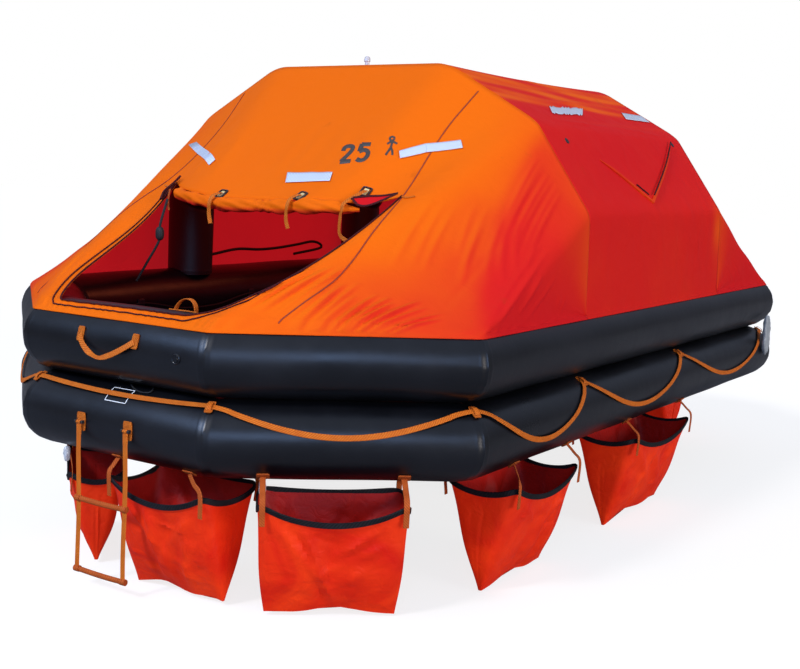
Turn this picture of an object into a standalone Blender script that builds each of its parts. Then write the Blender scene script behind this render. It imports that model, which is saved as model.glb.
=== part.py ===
"""Inflatable life raft for 25 people.

Two buoyancy tubes, one on the other, follow an elongated octagon. Two inflated arches stand across
the upper tube and carry the canopy, which has an entrance at each end. Water pockets and a webbing
boarding ladder hang below. Metres, +Z up, +X along the raft. The origin is at the unladen waterline,
in the middle of the raft; the front end, -X, and its port side, -Y, are the ones most often seen.
"""

import math

import bmesh
import bpy
import numpy as np
from mathutils import Matrix, Vector

# Buoyancy tubes. The octagon is that of their centre lines.
TUBE_RADIUS = 0.170
DRAFT = 0.050
HALF_LENGTH = 2.590
HALF_WIDTH = 1.280
END_HALF = 0.487
SIDE_HALF = 1.940
TUBE_SIDES = 48
TOUCH = 0.0004  # pieces that rest on each other stay this far apart

LOWER_Z = TUBE_RADIUS - DRAFT
UPPER_Z = LOWER_Z + 2 * TUBE_RADIUS + TOUCH
OUTER_X = HALF_LENGTH + TUBE_RADIUS

# Canopy: the arches' outer line across the raft, from the skirt up, as (y, z).
SKIRT_ANGLE = math.radians(50)
SKIRT_REACH_END = 0.1786
SKIRT_REACH_SIDE = 0.1737
KNEE = (1.390, 1.080)
SHOULDER = (1.080, 1.530)
TOP_CORNER = (0.560, 1.820)
CANOPY_THICK = 0.005
RIDGE_X = 0.965
RIDGE_GAP = 0.0028
ROOF_SAG = 0.030
END_SAG = 0.105

# Entrance: where its side edges, head and sill lie on the end panel.
DOOR_EDGE = 0.61  # from the top corner's line, 0, to the shoulder's line, 1
DOOR_HEAD = 0.366  # from the arch, 0, to the skirt, 1
HEAD_DIP = 0.134  # how much further down the head hangs between its corners
DOOR_SILL = 0.975
DOOR_ROLL_RADIUS = 0.034
DOOR_ROLL_DROP = 0.0040  # from the head's edge to the roll under it

# Arches, inside the canopy.
ARCH_RADIUS = 0.135
ARCH_INSET = 0.146
ARCH_X = RIDGE_X - 0.062

# The inflated floor's underside just meets the water.
FLOOR_TOP = 0.060
FLOOR_BOTTOM = 0.0

# Water pockets: a rim with four corners, tapering to a keel.
POCKET_KEEL_Z = -0.600
POCKET_THICK = 0.005
OUTER_SAG, INNER_SAG, SHORT_SAG = 0.075, 0.015, 0.040  # how far a pocket's rim hangs between its corners
KEEL_WIDTH = 0.030
KEEL_SHARE = 0.88
POCKET_PATCH = (0.014, 0.050, 0.040)
RUN_MARGIN = 0.08  # a pocket's patches keep this share of a tube run off its corners
# Each row: name, centre x, centre y, heading in degrees of the long side, rim length, rim depth
# and rim height.
POCKETS = (
    ("inner", -2.330, 0.520, 48.0, 0.62, 0.27, -0.170),
    ("end", -2.550, -0.255, 90.0, 0.57, 0.37, -0.100),
    ("diagonal", -2.345, -0.915, -50.7, 0.63, 0.30, -0.100),
    ("corner", -1.390, -1.270, 0.0, 0.66, 0.38, -0.100),
    ("side", 0.060, -1.270, 0.0, 0.84, 0.38, -0.100),
)

# Boarding ladder, hinged at the widest line of the lower tube.
LADDER_STRAPS_Y = (0.155, -0.130)
LADDER_PIN_OUT = 0.016
LADDER_PIN_RADIUS = 0.004
LADDER_EYE_RADIUS = 0.009
LADDER_EYE_BORE = 0.0047
LADDER_RUNGS_Z = (-0.220, -0.540)
LADDER_PATCH = (0.004, 0.052, 0.080)

# The outer lifeline's patches stand at this angle above the lower tube's centre line.
LIFELINE_ANGLE = math.radians(58)
END_BIGHT = 0.025
DIAGONAL_BIGHT = 0.130
SIDE_BIGHT = 0.210
SIDE_PATCHES_X = (-0.920, 0.420)
LIGHT_DIP = 0.0033  # the roof lies this far below its ridge at the light's foot
TOW_Y = -0.360


def rgb(code):
    """The linear colour of an sRGB hex value."""
    parts = [int(code[i : i + 2], 16) / 255 for i in (1, 3, 5)]
    linear = [c / 12.92 if c <= 0.04045 else ((c + 0.055) / 1.055) ** 2.4 for c in parts]
    return (*linear, 1.0)


def make_material(name, code, roughness, metallic=0.0):
    material = bpy.data.materials.new(name)
    material.use_nodes = True
    shader = material.node_tree.nodes["Principled BSDF"]
    shader.inputs["Base Color"].default_value = rgb(code)
    shader.inputs["Roughness"].default_value = roughness
    shader.inputs["Metallic"].default_value = metallic
    material.diffuse_color = rgb(code)
    return material


for leftover in list(bpy.data.objects):
    bpy.data.objects.remove(leftover)

RUBBER = make_material("tube_rubber", "#232429", 0.45)
CANOPY = make_material("canopy_fabric", "#E4611C", 0.60)
ARCH = make_material("arch_rubber", "#1E1316", 0.60)
POCKET = make_material("pocket_fabric", "#D62C1A", 0.65)
WEBBING = make_material("webbing", "#D2711F", 0.70)
FLOOR = make_material("floor_rubber", "#2B2B30", 0.60)
BLACK = make_material("black_fitting", "#16161A", 0.50)
STEEL = make_material("galvanised_steel", "#9A9FA3", 0.40, 0.9)
LAMP = make_material("lamp_plastic", "#D9DCDF", 0.30)

COLLECTION = bpy.data.collections.new("life_raft")
CUTTERS = bpy.data.collections.new("cutters")
bpy.context.scene.collection.children.link(COLLECTION)
bpy.context.scene.collection.children.link(CUTTERS)


def add_object(name, data, material, collection=COLLECTION):
    """A new object of this mesh or curve, with one material."""
    item = bpy.data.objects.new(name, data)
    data.materials.clear()
    data.materials.append(material)
    collection.objects.link(item)
    return item


def mesh_from(name, points, faces, closed=True):
    """A mesh of these points and faces. A closed one has its faces turned outwards."""
    mesh = bpy.data.meshes.new(name)
    mesh.from_pydata([tuple(map(float, p)) for p in points], [], faces)
    if closed:
        work = bmesh.new()
        work.from_mesh(mesh)
        bmesh.ops.recalc_face_normals(work, faces=work.faces)
        work.to_mesh(mesh)
        work.free()
    return mesh


def settle(item):
    """The object as its modifiers leave it, with them and any curve turned into a plain mesh."""
    bpy.context.view_layer.update()
    graph = bpy.context.evaluated_depsgraph_get()
    mesh = bpy.data.meshes.new_from_object(item.evaluated_get(graph))
    work = bmesh.new()
    work.from_mesh(mesh)
    bmesh.ops.remove_doubles(work, verts=work.verts, dist=1e-6)
    work.to_mesh(mesh)
    work.free()
    name, place, material = item.name, item.matrix_world.copy(), item.data.materials[0]
    collection = item.users_collection[0]
    bpy.data.objects.remove(item)
    plain = add_object(name, mesh, material, collection)
    plain.matrix_world = place
    return plain


def united(first, others):
    """One closed body of pieces that run into each other."""
    for other in others:
        join = first.modifiers.new("join", "BOOLEAN")
        join.operation = "UNION"
        join.object = other
    first = settle(first)
    for other in others:
        bpy.data.objects.remove(other)
    return first


def cut(item, cutter):
    """The object with the cutter's space taken out. The cutter stays, hidden."""
    cutter.hide_render = True
    cutter.display_type = "WIRE"
    less = item.modifiers.new("cut", "BOOLEAN")
    less.operation = "DIFFERENCE"
    less.object = cutter
    return settle(item)


def box(name, size, place, material, turn=None, collection=COLLECTION):
    """A box of this size about its own centre."""
    work = bmesh.new()
    bmesh.ops.create_cube(work, size=1.0, matrix=Matrix.Diagonal((*size, 1.0)))
    mesh = bpy.data.meshes.new(name)
    work.to_mesh(mesh)
    work.free()
    item = add_object(name, mesh, material, collection)
    item.matrix_world = Matrix.Translation(place) @ (turn or Matrix.Identity(4))
    return item


def cylinder(name, radius, length, place, axis, material, sides=20, top=None):
    """A cylinder about its centre, along an axis; with top, a cone's frustum."""
    work = bmesh.new()
    end = radius if top is None else top
    bmesh.ops.create_cone(work, cap_ends=True, segments=sides, radius1=radius, radius2=end, depth=length)
    mesh = bpy.data.meshes.new(name)
    work.to_mesh(mesh)
    work.free()
    item = add_object(name, mesh, material)
    turn = Vector((0, 0, 1)).rotation_difference(Vector(axis)).to_matrix().to_4x4()
    item.matrix_world = Matrix.Translation(place) @ turn
    mesh.shade_smooth()
    mesh.set_sharp_from_angle(angle=math.radians(40))
    return item


def strap(name, start, end, width, thick, facing, material=WEBBING):
    """A flat strap between two points, its broad side turned to the facing direction."""
    start, end = Vector(start), Vector(end)
    along = (end - start).normalized()
    out = Vector(facing) - Vector(facing).dot(along) * along
    out.normalize()
    across = along.cross(out)
    turn = Matrix((out, across, along)).transposed().to_4x4()
    return box(name, (thick, width, (end - start).length), (start + end) / 2, material, turn)


def rod(name, points, radius, material, cyclic=False, sides_resolution=2):
    """A round line through the points, as a POLY curve with filled caps."""
    curve = bpy.data.curves.new(name, "CURVE")
    curve.dimensions = "3D"
    curve.bevel_depth = radius
    curve.bevel_resolution = sides_resolution
    curve.use_fill_caps = True
    spline = curve.splines.new("POLY")
    spline.points.add(len(points) - 1)
    for point, place in zip(spline.points, points):
        point.co = (*place, 1.0)
    spline.use_cyclic_u = cyclic
    return add_object(name, curve, material)


def octagon(offset=0.0):
    """The eight corners of the centre line moved outwards by offset, in order from the front
    starboard corner through the port side. Each corner moves along its mitre."""
    corners = [
        (-HALF_LENGTH, END_HALF),
        (-HALF_LENGTH, -END_HALF),
        (-SIDE_HALF, -HALF_WIDTH),
        (SIDE_HALF, -HALF_WIDTH),
        (HALF_LENGTH, -END_HALF),
        (HALF_LENGTH, END_HALF),
        (SIDE_HALF, HALF_WIDTH),
        (-SIDE_HALF, HALF_WIDTH),
    ]
    points = np.array(corners)
    ahead = np.roll(points, -1, axis=0) - points
    ahead /= np.linalg.norm(ahead, axis=1)[:, None]
    outward = np.stack([ahead[:, 1], -ahead[:, 0]], axis=1)
    before = np.roll(outward, 1, axis=0)
    mitre = (before + outward) / (1 + (before * outward).sum(axis=1))[:, None]
    return points + offset * mitre


def mitred_tube(name, path, normal, radius, material, closed, sides=TUBE_SIDES, collection=COLLECTION):
    """A round tube along a flat path: at each corner its ring lies in the mitre plane, so that the
    straight runs keep their full radius, as glued tube sections do. A curve's bevel thins there."""
    path = np.array(path, float)
    normal = np.array(normal, float)
    ahead = np.roll(path, -1, axis=0) - path
    if not closed:
        ahead[-1] = ahead[-2]
    ahead /= np.linalg.norm(ahead, axis=1)[:, None]
    behind = np.roll(ahead, 1, axis=0)
    if not closed:
        behind[0] = ahead[0]
    out_a, out_b = np.cross(ahead, normal), np.cross(behind, normal)
    mitre = (out_a + out_b) / (1 + (out_a * out_b).sum(axis=1))[:, None]
    turn = np.arange(sides) * 2 * math.pi / sides
    rings = path[:, None] + radius * (np.cos(turn)[:, None] * mitre[:, None] + np.sin(turn)[:, None] * normal)
    count = len(path)
    faces = []
    for k in range(count if closed else count - 1):
        a, b = k * sides, (k + 1) % count * sides
        faces += [[a + i, a + (i + 1) % sides, b + (i + 1) % sides, b + i] for i in range(sides)]
    if not closed:
        faces += [list(range(sides)), [(count - 1) * sides + i for i in range(sides)]]
    mesh = mesh_from(name, rings.reshape(-1, 3), faces)
    mesh.shade_smooth()
    mesh.set_sharp_from_angle(angle=math.radians(30))
    return add_object(name, mesh, material, collection)


def lifted(points, height):
    return [(x, y, height) for x, y in points]


def grid_shell(name, grid, gap, thick, material):
    """A sheet over a grid of points, less the cells (row, column) in gap, with a wall on its inner
    side. The grid's rows and columns run so that the faces point out."""
    rows, columns = grid.shape[:2]
    index = np.arange(rows * columns).reshape(rows, columns)
    faces = [
        [int(index[r, c]), int(index[r + 1, c]), int(index[r + 1, c + 1]), int(index[r, c + 1])]
        for r in range(rows - 1)
        for c in range(columns - 1)
        if (r, c) not in gap
    ]
    used = sorted({i for face in faces for i in face})
    place = {old: new for new, old in enumerate(used)}
    faces = [[place[i] for i in face] for face in faces]
    mesh = mesh_from(name, grid.reshape(-1, 3)[used], faces, closed=False)
    mesh.shade_smooth()
    sheet = add_object(name, mesh, material)
    wall = sheet.modifiers.new("wall", "SOLIDIFY")
    wall.thickness = thick
    wall.offset = -1.0
    wall.use_even_offset = True
    return sheet


def half_turn(points):
    """The points of the same piece at the other end of the raft, half a turn about Z away."""
    return np.array(points) * (-1, -1, 1)


def skirt(reach):
    """How far outside the tube's centre line, and how high, the canopy meets the upper tube."""
    return reach * math.cos(SKIRT_ANGLE), UPPER_Z + reach * math.sin(SKIRT_ANGLE)


def blend(first, second, share):
    return np.array(first) * (1 - share) + np.array(second) * share


def make_tubes():
    ring = octagon()
    mitred_tube("lower_tube", lifted(ring, LOWER_Z), (0, 0, 1), TUBE_RADIUS, RUBBER, closed=True)
    mitred_tube("upper_tube", lifted(ring, UPPER_Z), (0, 0, 1), TUBE_RADIUS, RUBBER, closed=True)


def make_floor():
    """The floor lies between the lower tube's inner flanks, which slope away from it underneath."""
    flank = math.sqrt(TUBE_RADIUS**2 - (LOWER_Z - FLOOR_TOP) ** 2)
    outline = octagon(-flank - 2 * TOUCH)
    points = lifted(outline, FLOOR_BOTTOM) + lifted(outline, FLOOR_TOP)
    faces = [list(range(8)), list(range(8, 16))]
    faces += [[i, (i + 1) % 8, 8 + (i + 1) % 8, 8 + i] for i in range(8)]
    add_object("floor", mesh_from("floor", points, faces), FLOOR)


def arch_line():
    """The canopy's line over an arch, from the starboard skirt to the port one, as (y, z)."""
    out, height = skirt(SKIRT_REACH_SIDE)
    half = [(HALF_WIDTH + out, height), KNEE, SHOULDER, TOP_CORNER]
    return np.array(half + [(-y, z) for y, z in reversed(half)])


def make_arches():
    """Each arch follows the canopy's line, inset so that the canopy lies on it, and its feet are
    cut to sit on the upper tube."""
    line = arch_line()
    ahead = np.diff(line, axis=0)
    ahead /= np.linalg.norm(ahead, axis=1)[:, None]
    inward = np.stack([ahead[:, 1], -ahead[:, 0]], axis=1) * -1
    inward *= np.sign(((np.array([0.0, 1.0]) - line[:-1]) * inward).sum(axis=1))[:, None]
    before = np.vstack([inward[:1], inward])
    after = np.vstack([inward, inward[-1:]])
    centre = line + ARCH_INSET * (before + after) / (1 + (before * after).sum(axis=1))[:, None]
    centre[[0, -1], 1] = UPPER_Z + 0.4 * TUBE_RADIUS
    saddle = mitred_tube(
        "saddle", lifted(octagon(), UPPER_Z), (0, 0, 1), TUBE_RADIUS + TOUCH, RUBBER, True, collection=CUTTERS
    )
    for name, x in (("arch_front", -ARCH_X), ("arch_rear", ARCH_X)):
        path = [(x, y, z) for y, z in centre]
        cut(mitred_tube(name, path, (1, 0, 0), ARCH_RADIUS, ARCH, closed=False, sides=20), saddle)


def end_panel_grid():
    """The front end panel: lines from the arch's line down to the skirt on the end and diagonal
    tubes, which hang END_SAG below straight between the arch and the sill, and clear the tube's
    crown at the sill. Rows run from arch to skirt, and dip to the entrance's head, whose edge is
    nearly level between its corners."""
    out, height = skirt(SKIRT_REACH_END)
    corners = octagon(out)
    arch = arch_line()[:4]
    arch[0] = (HALF_WIDTH + out, height)
    base = (-RIDGE_X - RIDGE_GAP, *arch[0])
    knee, shoulder, top = [(-RIDGE_X - RIDGE_GAP, *point) for point in arch[1:]]
    skirt_x, skirt_y = corners[0]
    feet = [base, (*corners[7], height), (skirt_x, skirt_y, height), (skirt_x, 0.53 * skirt_y, height)]
    door = (blend(top, shoulder, DOOR_EDGE), blend(feet[3], feet[2], DOOR_EDGE))
    middle = ((top[0], 0.0, top[2]), (skirt_x, 0.0, height))
    # Each row: the line's two ends, its share of the sag, its lift at the sill, and how many
    # columns reach it from the line before.
    lines = (
        (base, feet[0], 0.0, 0.0, 0),
        (knee, feet[1], 0.0, 0.0, 2),
        (shoulder, feet[2], 0.15, 0.022, 5),
        (*door, 0.95, 0.006, 2),
        (top, feet[3], 1.0, 0.0, 2),
        (*middle, 1.05, 0.0, 3),
    )
    columns = [tuple(map(np.array, lines[0][:4]))]
    for before, line in zip(lines, lines[1:]):
        steps = line[4]
        for k in range(1, steps + 1):
            columns.append(tuple(blend(a, b, k / steps) for a, b in zip(before[:4], line[:4])))
    columns += [(a * (1, -1, 1), b * (1, -1, 1), sag, lift) for a, b, sag, lift in reversed(columns[:-1])]
    rows = np.concatenate([
        np.linspace(0, DOOR_HEAD, 5)[:-1],
        np.linspace(DOOR_HEAD, DOOR_SILL, 6)[:-1],
        [DOOR_SILL, 1.0],
    ])
    heads, ends, sags, lifts = [np.array(part, float) for part in zip(*columns)]
    across = np.minimum(np.abs(heads[:, 1] / door[0][1]), 1.0)
    shift = np.interp(rows, (0, DOOR_HEAD, DOOR_SILL, 1), (0, HEAD_DIP, 0, 0))
    share = rows[:, None] + shift[:, None] * (1 - across**4)
    grid = heads * (1 - share)[..., None] + ends * share[..., None]
    down = np.minimum(share / DOOR_SILL, 1.0)
    near_sill = np.minimum(down, (1 - share) / (1 - DOOR_SILL))
    grid[..., 2] += near_sill * lifts - END_SAG * 4 * down * (1 - down) * sags
    return grid, rows


def make_end_panels():
    grid, rows = end_panel_grid()
    middle = (grid.shape[1] - 1) // 2
    door_columns = range(middle - 5, middle + 5)
    door_rows = [r for r, v in enumerate(rows) if DOOR_HEAD - 1e-6 <= v < DOOR_SILL - 1e-6]
    gap = {(r, c) for r in door_rows for c in door_columns}
    grid_shell("canopy_front", grid, gap, CANOPY_THICK, CANOPY)
    grid_shell("canopy_rear", half_turn(grid), gap, CANOPY_THICK, CANOPY)
    head = grid[door_rows[0], middle - 5 : middle + 6]
    roll = head + (-0.012, 0.0, -DOOR_ROLL_RADIUS - DOOR_ROLL_DROP)
    roll[[0, -1]] = blend(roll[[0, -1]], roll[[1, -2]], 0.35)
    rod("door_roll_front", roll, DOOR_ROLL_RADIUS, CANOPY, sides_resolution=3)
    rod("door_roll_rear", half_turn(roll), DOOR_ROLL_RADIUS, CANOPY, sides_resolution=3)


def make_roof_and_walls():
    """The canopy between the arches: the roof hangs between them, the side walls are nearly flat."""
    half = RIDGE_X - RIDGE_GAP
    stations = np.linspace(-half, half, 9)
    line = arch_line()
    seam = 0.0006
    roof = [blend(line[2], line[3], k / 3) for k in range(4)]
    roof += [(y, TOP_CORNER[1]) for y in (0.28, 0.0, -0.28)]
    roof += [(-y, z) for y, z in reversed(roof[:4])]
    roof = np.array(roof)
    roof[0] += (-0.5 * seam, 0.9 * seam)
    roof[-1] += (0.5 * seam, 0.9 * seam)
    hang = ROOF_SAG * (1 - (stations / half) ** 2)
    lift = np.clip((roof[:, 1] - SHOULDER[1]) / 0.1, 0, 1)
    grid = np.array([[(x, y, z - h * s) for x, h in zip(stations, hang)] for (y, z), s in zip(roof, lift)])
    grid_shell("canopy_roof", grid, (), CANOPY_THICK, CANOPY)
    lean = np.array(KNEE) - np.array(SHOULDER)
    lean *= (seam + 0.0021) / np.linalg.norm(lean)
    wall = [line[0], blend(line[0], line[1], 0.5), line[1], blend(line[1], line[2], 0.5), line[2] + lean]
    for name, side in (("canopy_starboard", 1), ("canopy_port", -1)):
        order = wall if side == 1 else wall[::-1]
        grid = np.array([[(x, side * y, z) for x in stations] for y, z in order])
        grid_shell(name, grid, (), CANOPY_THICK, CANOPY)


def pocket_shell(name, length, depth, rim_z, outward):
    """An open bag in its own frame, its long side along X: twelve-point rings from the rim, which
    sags between its corners, most on the side that faces outwards, down to a narrow keel."""
    x_share = np.array([-1, -0.5, 0, 0.5, 1, 1, 1, 0.5, 0, -0.5, -1, -1], float)
    y_share = np.array([-1, -1, -1, -1, -1, 0, 1, 1, 1, 1, 1, 0], float)
    on_long_side = np.abs(y_share) == 1
    sag = np.where(on_long_side, np.where(y_share == outward, OUTER_SAG, INNER_SAG), SHORT_SAG)
    sag *= 1 - np.where(on_long_side, x_share, y_share) ** 2
    rings = []
    for down in (0.0, 0.35, 0.7, 1.0):
        half = length / 2 * (1 - (1 - KEEL_SHARE) * down)
        reach = depth / 2 * (1 - down) + KEEL_WIDTH / 2 * down
        z = rim_z + (POCKET_KEEL_Z - rim_z) * down - sag * (1 - down)
        rings.append(np.stack([half * x_share, reach * y_share, z], axis=1))
    points = np.concatenate(rings)
    faces = [
        [r * 12 + i, (r + 1) * 12 + i, (r + 1) * 12 + (i + 1) % 12, r * 12 + (i + 1) % 12]
        for r in range(3)
        for i in range(12)
    ]
    faces.append([36 + i for i in reversed(range(12))])
    shell = add_object(name, mesh_from(name, points, faces, closed=False), POCKET)
    wall = shell.modifiers.new("wall", "SOLIDIFY")
    wall.thickness = POCKET_THICK
    wall.offset = -1.0
    return shell


def foot_on_run(run, x, y, margin=0.0):
    """How far a run of the tubes' centre line passes from a point in plan, and where. The margin
    keeps that place off the run's two corners."""
    start, end = run
    share = np.dot((x, y) - start, end - start) / np.dot(end - start, end - start)
    foot = blend(start, end, np.clip(share, margin, 1 - margin))
    return math.dist(foot, (x, y)), foot


def nearest_run(x, y):
    """The ends of the straight run of the tubes' centre line that passes nearest."""
    ring = octagon()
    return min(zip(ring, np.roll(ring, -1, axis=0)), key=lambda run: foot_on_run(run, x, y)[0])


def make_pocket(name, x, y, heading, length, depth, rim_z):
    """A pocket with a strap at each rim corner, up to a patch on the lower tube's underside or, for
    a corner that lies further in, on the floor's underside."""
    place = Matrix.Translation((x, y, 0)) @ Matrix.Rotation(math.radians(heading), 4, "Z")
    outward = math.copysign(1, Vector((x, y, 0)).dot(place.col[1].xyz))
    shell = pocket_shell(name, length, depth, rim_z, outward)
    shell.matrix_world = place
    shell = settle(shell)
    run = nearest_run(x, y)
    pieces = []
    for sx in (-1, 1):
        for sy in (-1, 1):
            corner = place @ Vector((sx * (length / 2 - 0.020), sy * (depth / 2 - 0.012), rim_z))
            _, foot = foot_on_run(run, corner.x, corner.y, RUN_MARGIN)
            beside = Vector((run[1][1] - run[0][1], run[0][0] - run[1][0], 0)).normalized()
            gap = beside.dot((corner.x - foot[0], corner.y - foot[1], 0))
            away, gap = beside * math.copysign(1, gap), abs(gap)
            if gap < TUBE_RADIUS + 0.08:
                lean = math.radians(38) * min(1.0, gap / TUBE_RADIUS)
                out = away * math.sin(lean) - Vector((0, 0, math.cos(lean)))
                seat = Vector((foot[0], foot[1], LOWER_Z)) + out * (TUBE_RADIUS + TOUCH)
            else:
                out = Vector((0, 0, -1))
                seat = Vector((corner.x, corner.y, FLOOR_BOTTOM - TOUCH))
            across = out.cross(Vector((0, 0, 1)))
            across = across.normalized() if across.length > 1e-6 else Vector((1, 0, 0))
            turn = Matrix((out, across, out.cross(across))).transposed().to_4x4()
            thick = POCKET_PATCH[0]
            pieces.append(box("patch", POCKET_PATCH, seat + out * thick / 2, WEBBING, turn))
            low = corner + Vector((0, 0, -0.030))
            high = seat + out * (thick - 0.001)
            pieces.append(strap("strap", low, high, 0.025, 0.006, away))
    united(shell, pieces)


def make_pockets():
    for name, x, y, *form in POCKETS:
        make_pocket("water_pocket_front_" + name, x, y, *form)
        make_pocket("water_pocket_rear_" + name, -x, -y, *form)


def make_ladder(end, side):
    """A webbing ladder with stiffened rungs. Its eyes turn on pins that two patches carry at the
    lower tube's widest line. side is -1 at the front end and 1 at the rear."""
    pin_x = side * (OUTER_X + LADDER_PIN_OUT)
    thick, width, height = LADDER_PATCH
    straps = []
    for number, front_y in enumerate(LADDER_STRAPS_Y, 1):
        y = -side * front_y
        patch_x = side * (OUTER_X + TOUCH + thick / 2)
        name = f"ladder_patch_{end}_{number}"
        patch = box(name, LADDER_PATCH, (patch_x, y, LOWER_Z), WEBBING)
        lug_x = side * (OUTER_X + TOUCH + (LADDER_PIN_OUT + 0.006) / 2)
        lugs = [
            box("lug", (LADDER_PIN_OUT + 0.006, 0.006, 0.014), (lug_x, y + s * 0.020, LOWER_Z), BLACK)
            for s in (-1, 1)
        ]
        pin = cylinder("pin", LADDER_PIN_RADIUS, 0.042, (pin_x, y, LOWER_Z), (0, 1, 0), BLACK, 12)
        united(patch, [*lugs, pin])
        eye = cylinder("eye", LADDER_EYE_RADIUS, 0.028, (pin_x, y, LOWER_Z), (0, 1, 0), WEBBING, 16)
        bore = cylinder("bore", LADDER_EYE_BORE, 0.060, (pin_x, y, LOWER_Z), (0, 1, 0), BLACK, 16)
        low = LADDER_RUNGS_Z[-1] - 0.012
        tape_top = LOWER_Z - 0.0065
        tape = box("tape", (0.004, 0.028, tape_top - low), (pin_x, y, (tape_top + low) / 2), WEBBING)
        strip = united(eye, [tape])
        strip = cut(strip, bore)
        bpy.data.objects.remove(bore)
        straps.append(strip)
    middle = -side * sum(LADDER_STRAPS_Y) / 2
    span = LADDER_STRAPS_Y[0] - LADDER_STRAPS_Y[1]
    rungs = [
        cylinder("rung", 0.011, span + 0.012, (pin_x, middle, z), (0, 1, 0), WEBBING, 14)
        for z in LADDER_RUNGS_Z
    ]
    ladder = united(straps[0], [straps[1], *rungs])
    ladder.name = f"boarding_ladder_{end}"


def lifeline_stations():
    """Patches of the outer lifeline: at the eight corners, and two on each long side. Each row is
    its place on the centre line, its outward direction, which at a corner is the mitre's, and the
    sag of the bight that follows it."""
    ring = octagon()
    mitre = octagon(1.0) - ring
    corner_sags = (END_BIGHT, DIAGONAL_BIGHT, SIDE_BIGHT, DIAGONAL_BIGHT) * 2
    corner = list(zip(ring, mitre, corner_sags))
    port = [(np.array((x, -HALF_WIDTH)), np.array((0.0, -1.0)), SIDE_BIGHT) for x in SIDE_PATCHES_X]
    starboard = [(-place, -out, sag) for place, out, sag in port]
    return corner[:3] + port + corner[3:7] + starboard + corner[7:]


def beside_tube(place, outward, angle, radius):
    """A point beside the lower tube at this angle above its centre line. Below the centre line it
    hangs straight down from the tube's widest line."""
    reach = radius * math.cos(max(angle, 0.0))
    height = radius * (math.sin(angle) if angle > 0 else angle)
    return (*(place + outward * reach), LOWER_Z + height)


def make_outer_lifeline():
    """Webbing in bights from patch to patch round the lower tube, one closed loop."""
    stations = lifeline_stations()
    line_reach = TUBE_RADIUS + 0.0085
    points, patches = [], []
    for (here, out_here, sag), (there, _, _) in zip(stations, stations[1:] + stations[:1]):
        ahead = (there - here) / math.dist(here, there)
        outward = np.array([ahead[1], -ahead[0]])
        points.append(beside_tube(here, out_here, LIFELINE_ANGLE, line_reach))
        for share in (0.04, 0.09, 0.15, 0.24, 0.36, 0.50, 0.64, 0.76, 0.85, 0.91, 0.96):
            angle = LIFELINE_ANGLE - sag / TUBE_RADIUS * math.sin(math.pi * share) ** 0.8
            points.append(beside_tube(here + (there - here) * share, outward, angle, line_reach))
        flat = Vector((*out_here, 0)).normalized()
        out = flat * math.cos(LIFELINE_ANGLE) + Vector((0, 0, math.sin(LIFELINE_ANGLE)))
        across = flat.cross(Vector((0, 0, 1)))
        turn = Matrix((out, across, out.cross(across))).transposed().to_4x4()
        place = beside_tube(here, out_here, LIFELINE_ANGLE, TUBE_RADIUS + TOUCH + 0.002)
        patches.append(box("patch", (0.004, 0.034, 0.060), place, WEBBING, turn))
    line = settle(rod("outer_lifeline", points, 0.005, WEBBING, cyclic=True, sides_resolution=1))
    united(line, patches)


def make_inner_lifeline():
    """A cord round the inside of the upper tube, on one patch at the middle of each straight run."""
    ring = octagon()
    points, patches = [], []
    for here, there in zip(ring, np.roll(ring, -1, axis=0)):
        length = math.dist(here, there)
        ahead = (there - here) / length
        inward = np.array([-ahead[1], ahead[0]])
        knots = max(1, round(length / 1.0))
        for k in range(knots):
            middle = (k + 0.5) / knots
            for step, drop in ((-0.35, 0.05), (-0.12, 0.012), (0.0, 0.0), (0.12, 0.012), (0.35, 0.05)):
                place = here + (there - here) * (middle + step / knots) + inward * (TUBE_RADIUS + 0.0085)
                points.append((*place, UPPER_Z - drop))
            place = here + (there - here) * middle + inward * (TUBE_RADIUS + TOUCH + 0.003)
            turn = Matrix.Rotation(math.atan2(ahead[1], ahead[0]), 4, "Z")
            patches.append(box("patch", (0.050, 0.006, 0.050), (*place, UPPER_Z), BLACK, turn))
    line = settle(rod("inner_lifeline", points, 0.004, BLACK, cyclic=True, sides_resolution=1))
    united(line, patches)


def make_handle(end, side):
    """A strap handle on the upper tube above the ladder: two patches and a hanging bight."""
    y_ends = [-side * y for y in (0.170, -0.160)]
    high, low = UPPER_Z + 0.045, UPPER_Z - 0.040
    points = []
    for k in range(9):
        share = k / 8
        z = low + (high - low) * (2 * share - 1) ** 2
        y = y_ends[0] + (y_ends[1] - y_ends[0]) * share
        beside = HALF_LENGTH + math.sqrt((TUBE_RADIUS + 0.010) ** 2 - (z - UPPER_Z) ** 2)
        points.append((side * (beside + 0.030 * math.sin(math.pi * share)), y, z))
    grip = settle(rod(f"grab_handle_{end}", points, 0.007, WEBBING))
    patches = []
    angle = math.asin((high - UPPER_Z) / TUBE_RADIUS)
    seat = TUBE_RADIUS + TOUCH + 0.004
    for y in y_ends:
        turn = Matrix.Rotation(-side * angle, 4, "Y")
        place = (
            side * (HALF_LENGTH + seat * math.cos(angle)),
            y,
            UPPER_Z + seat * math.sin(angle),
        )
        patches.append(box("patch", (0.008, 0.055, 0.070), place, WEBBING, turn))
    united(grip, patches)


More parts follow.
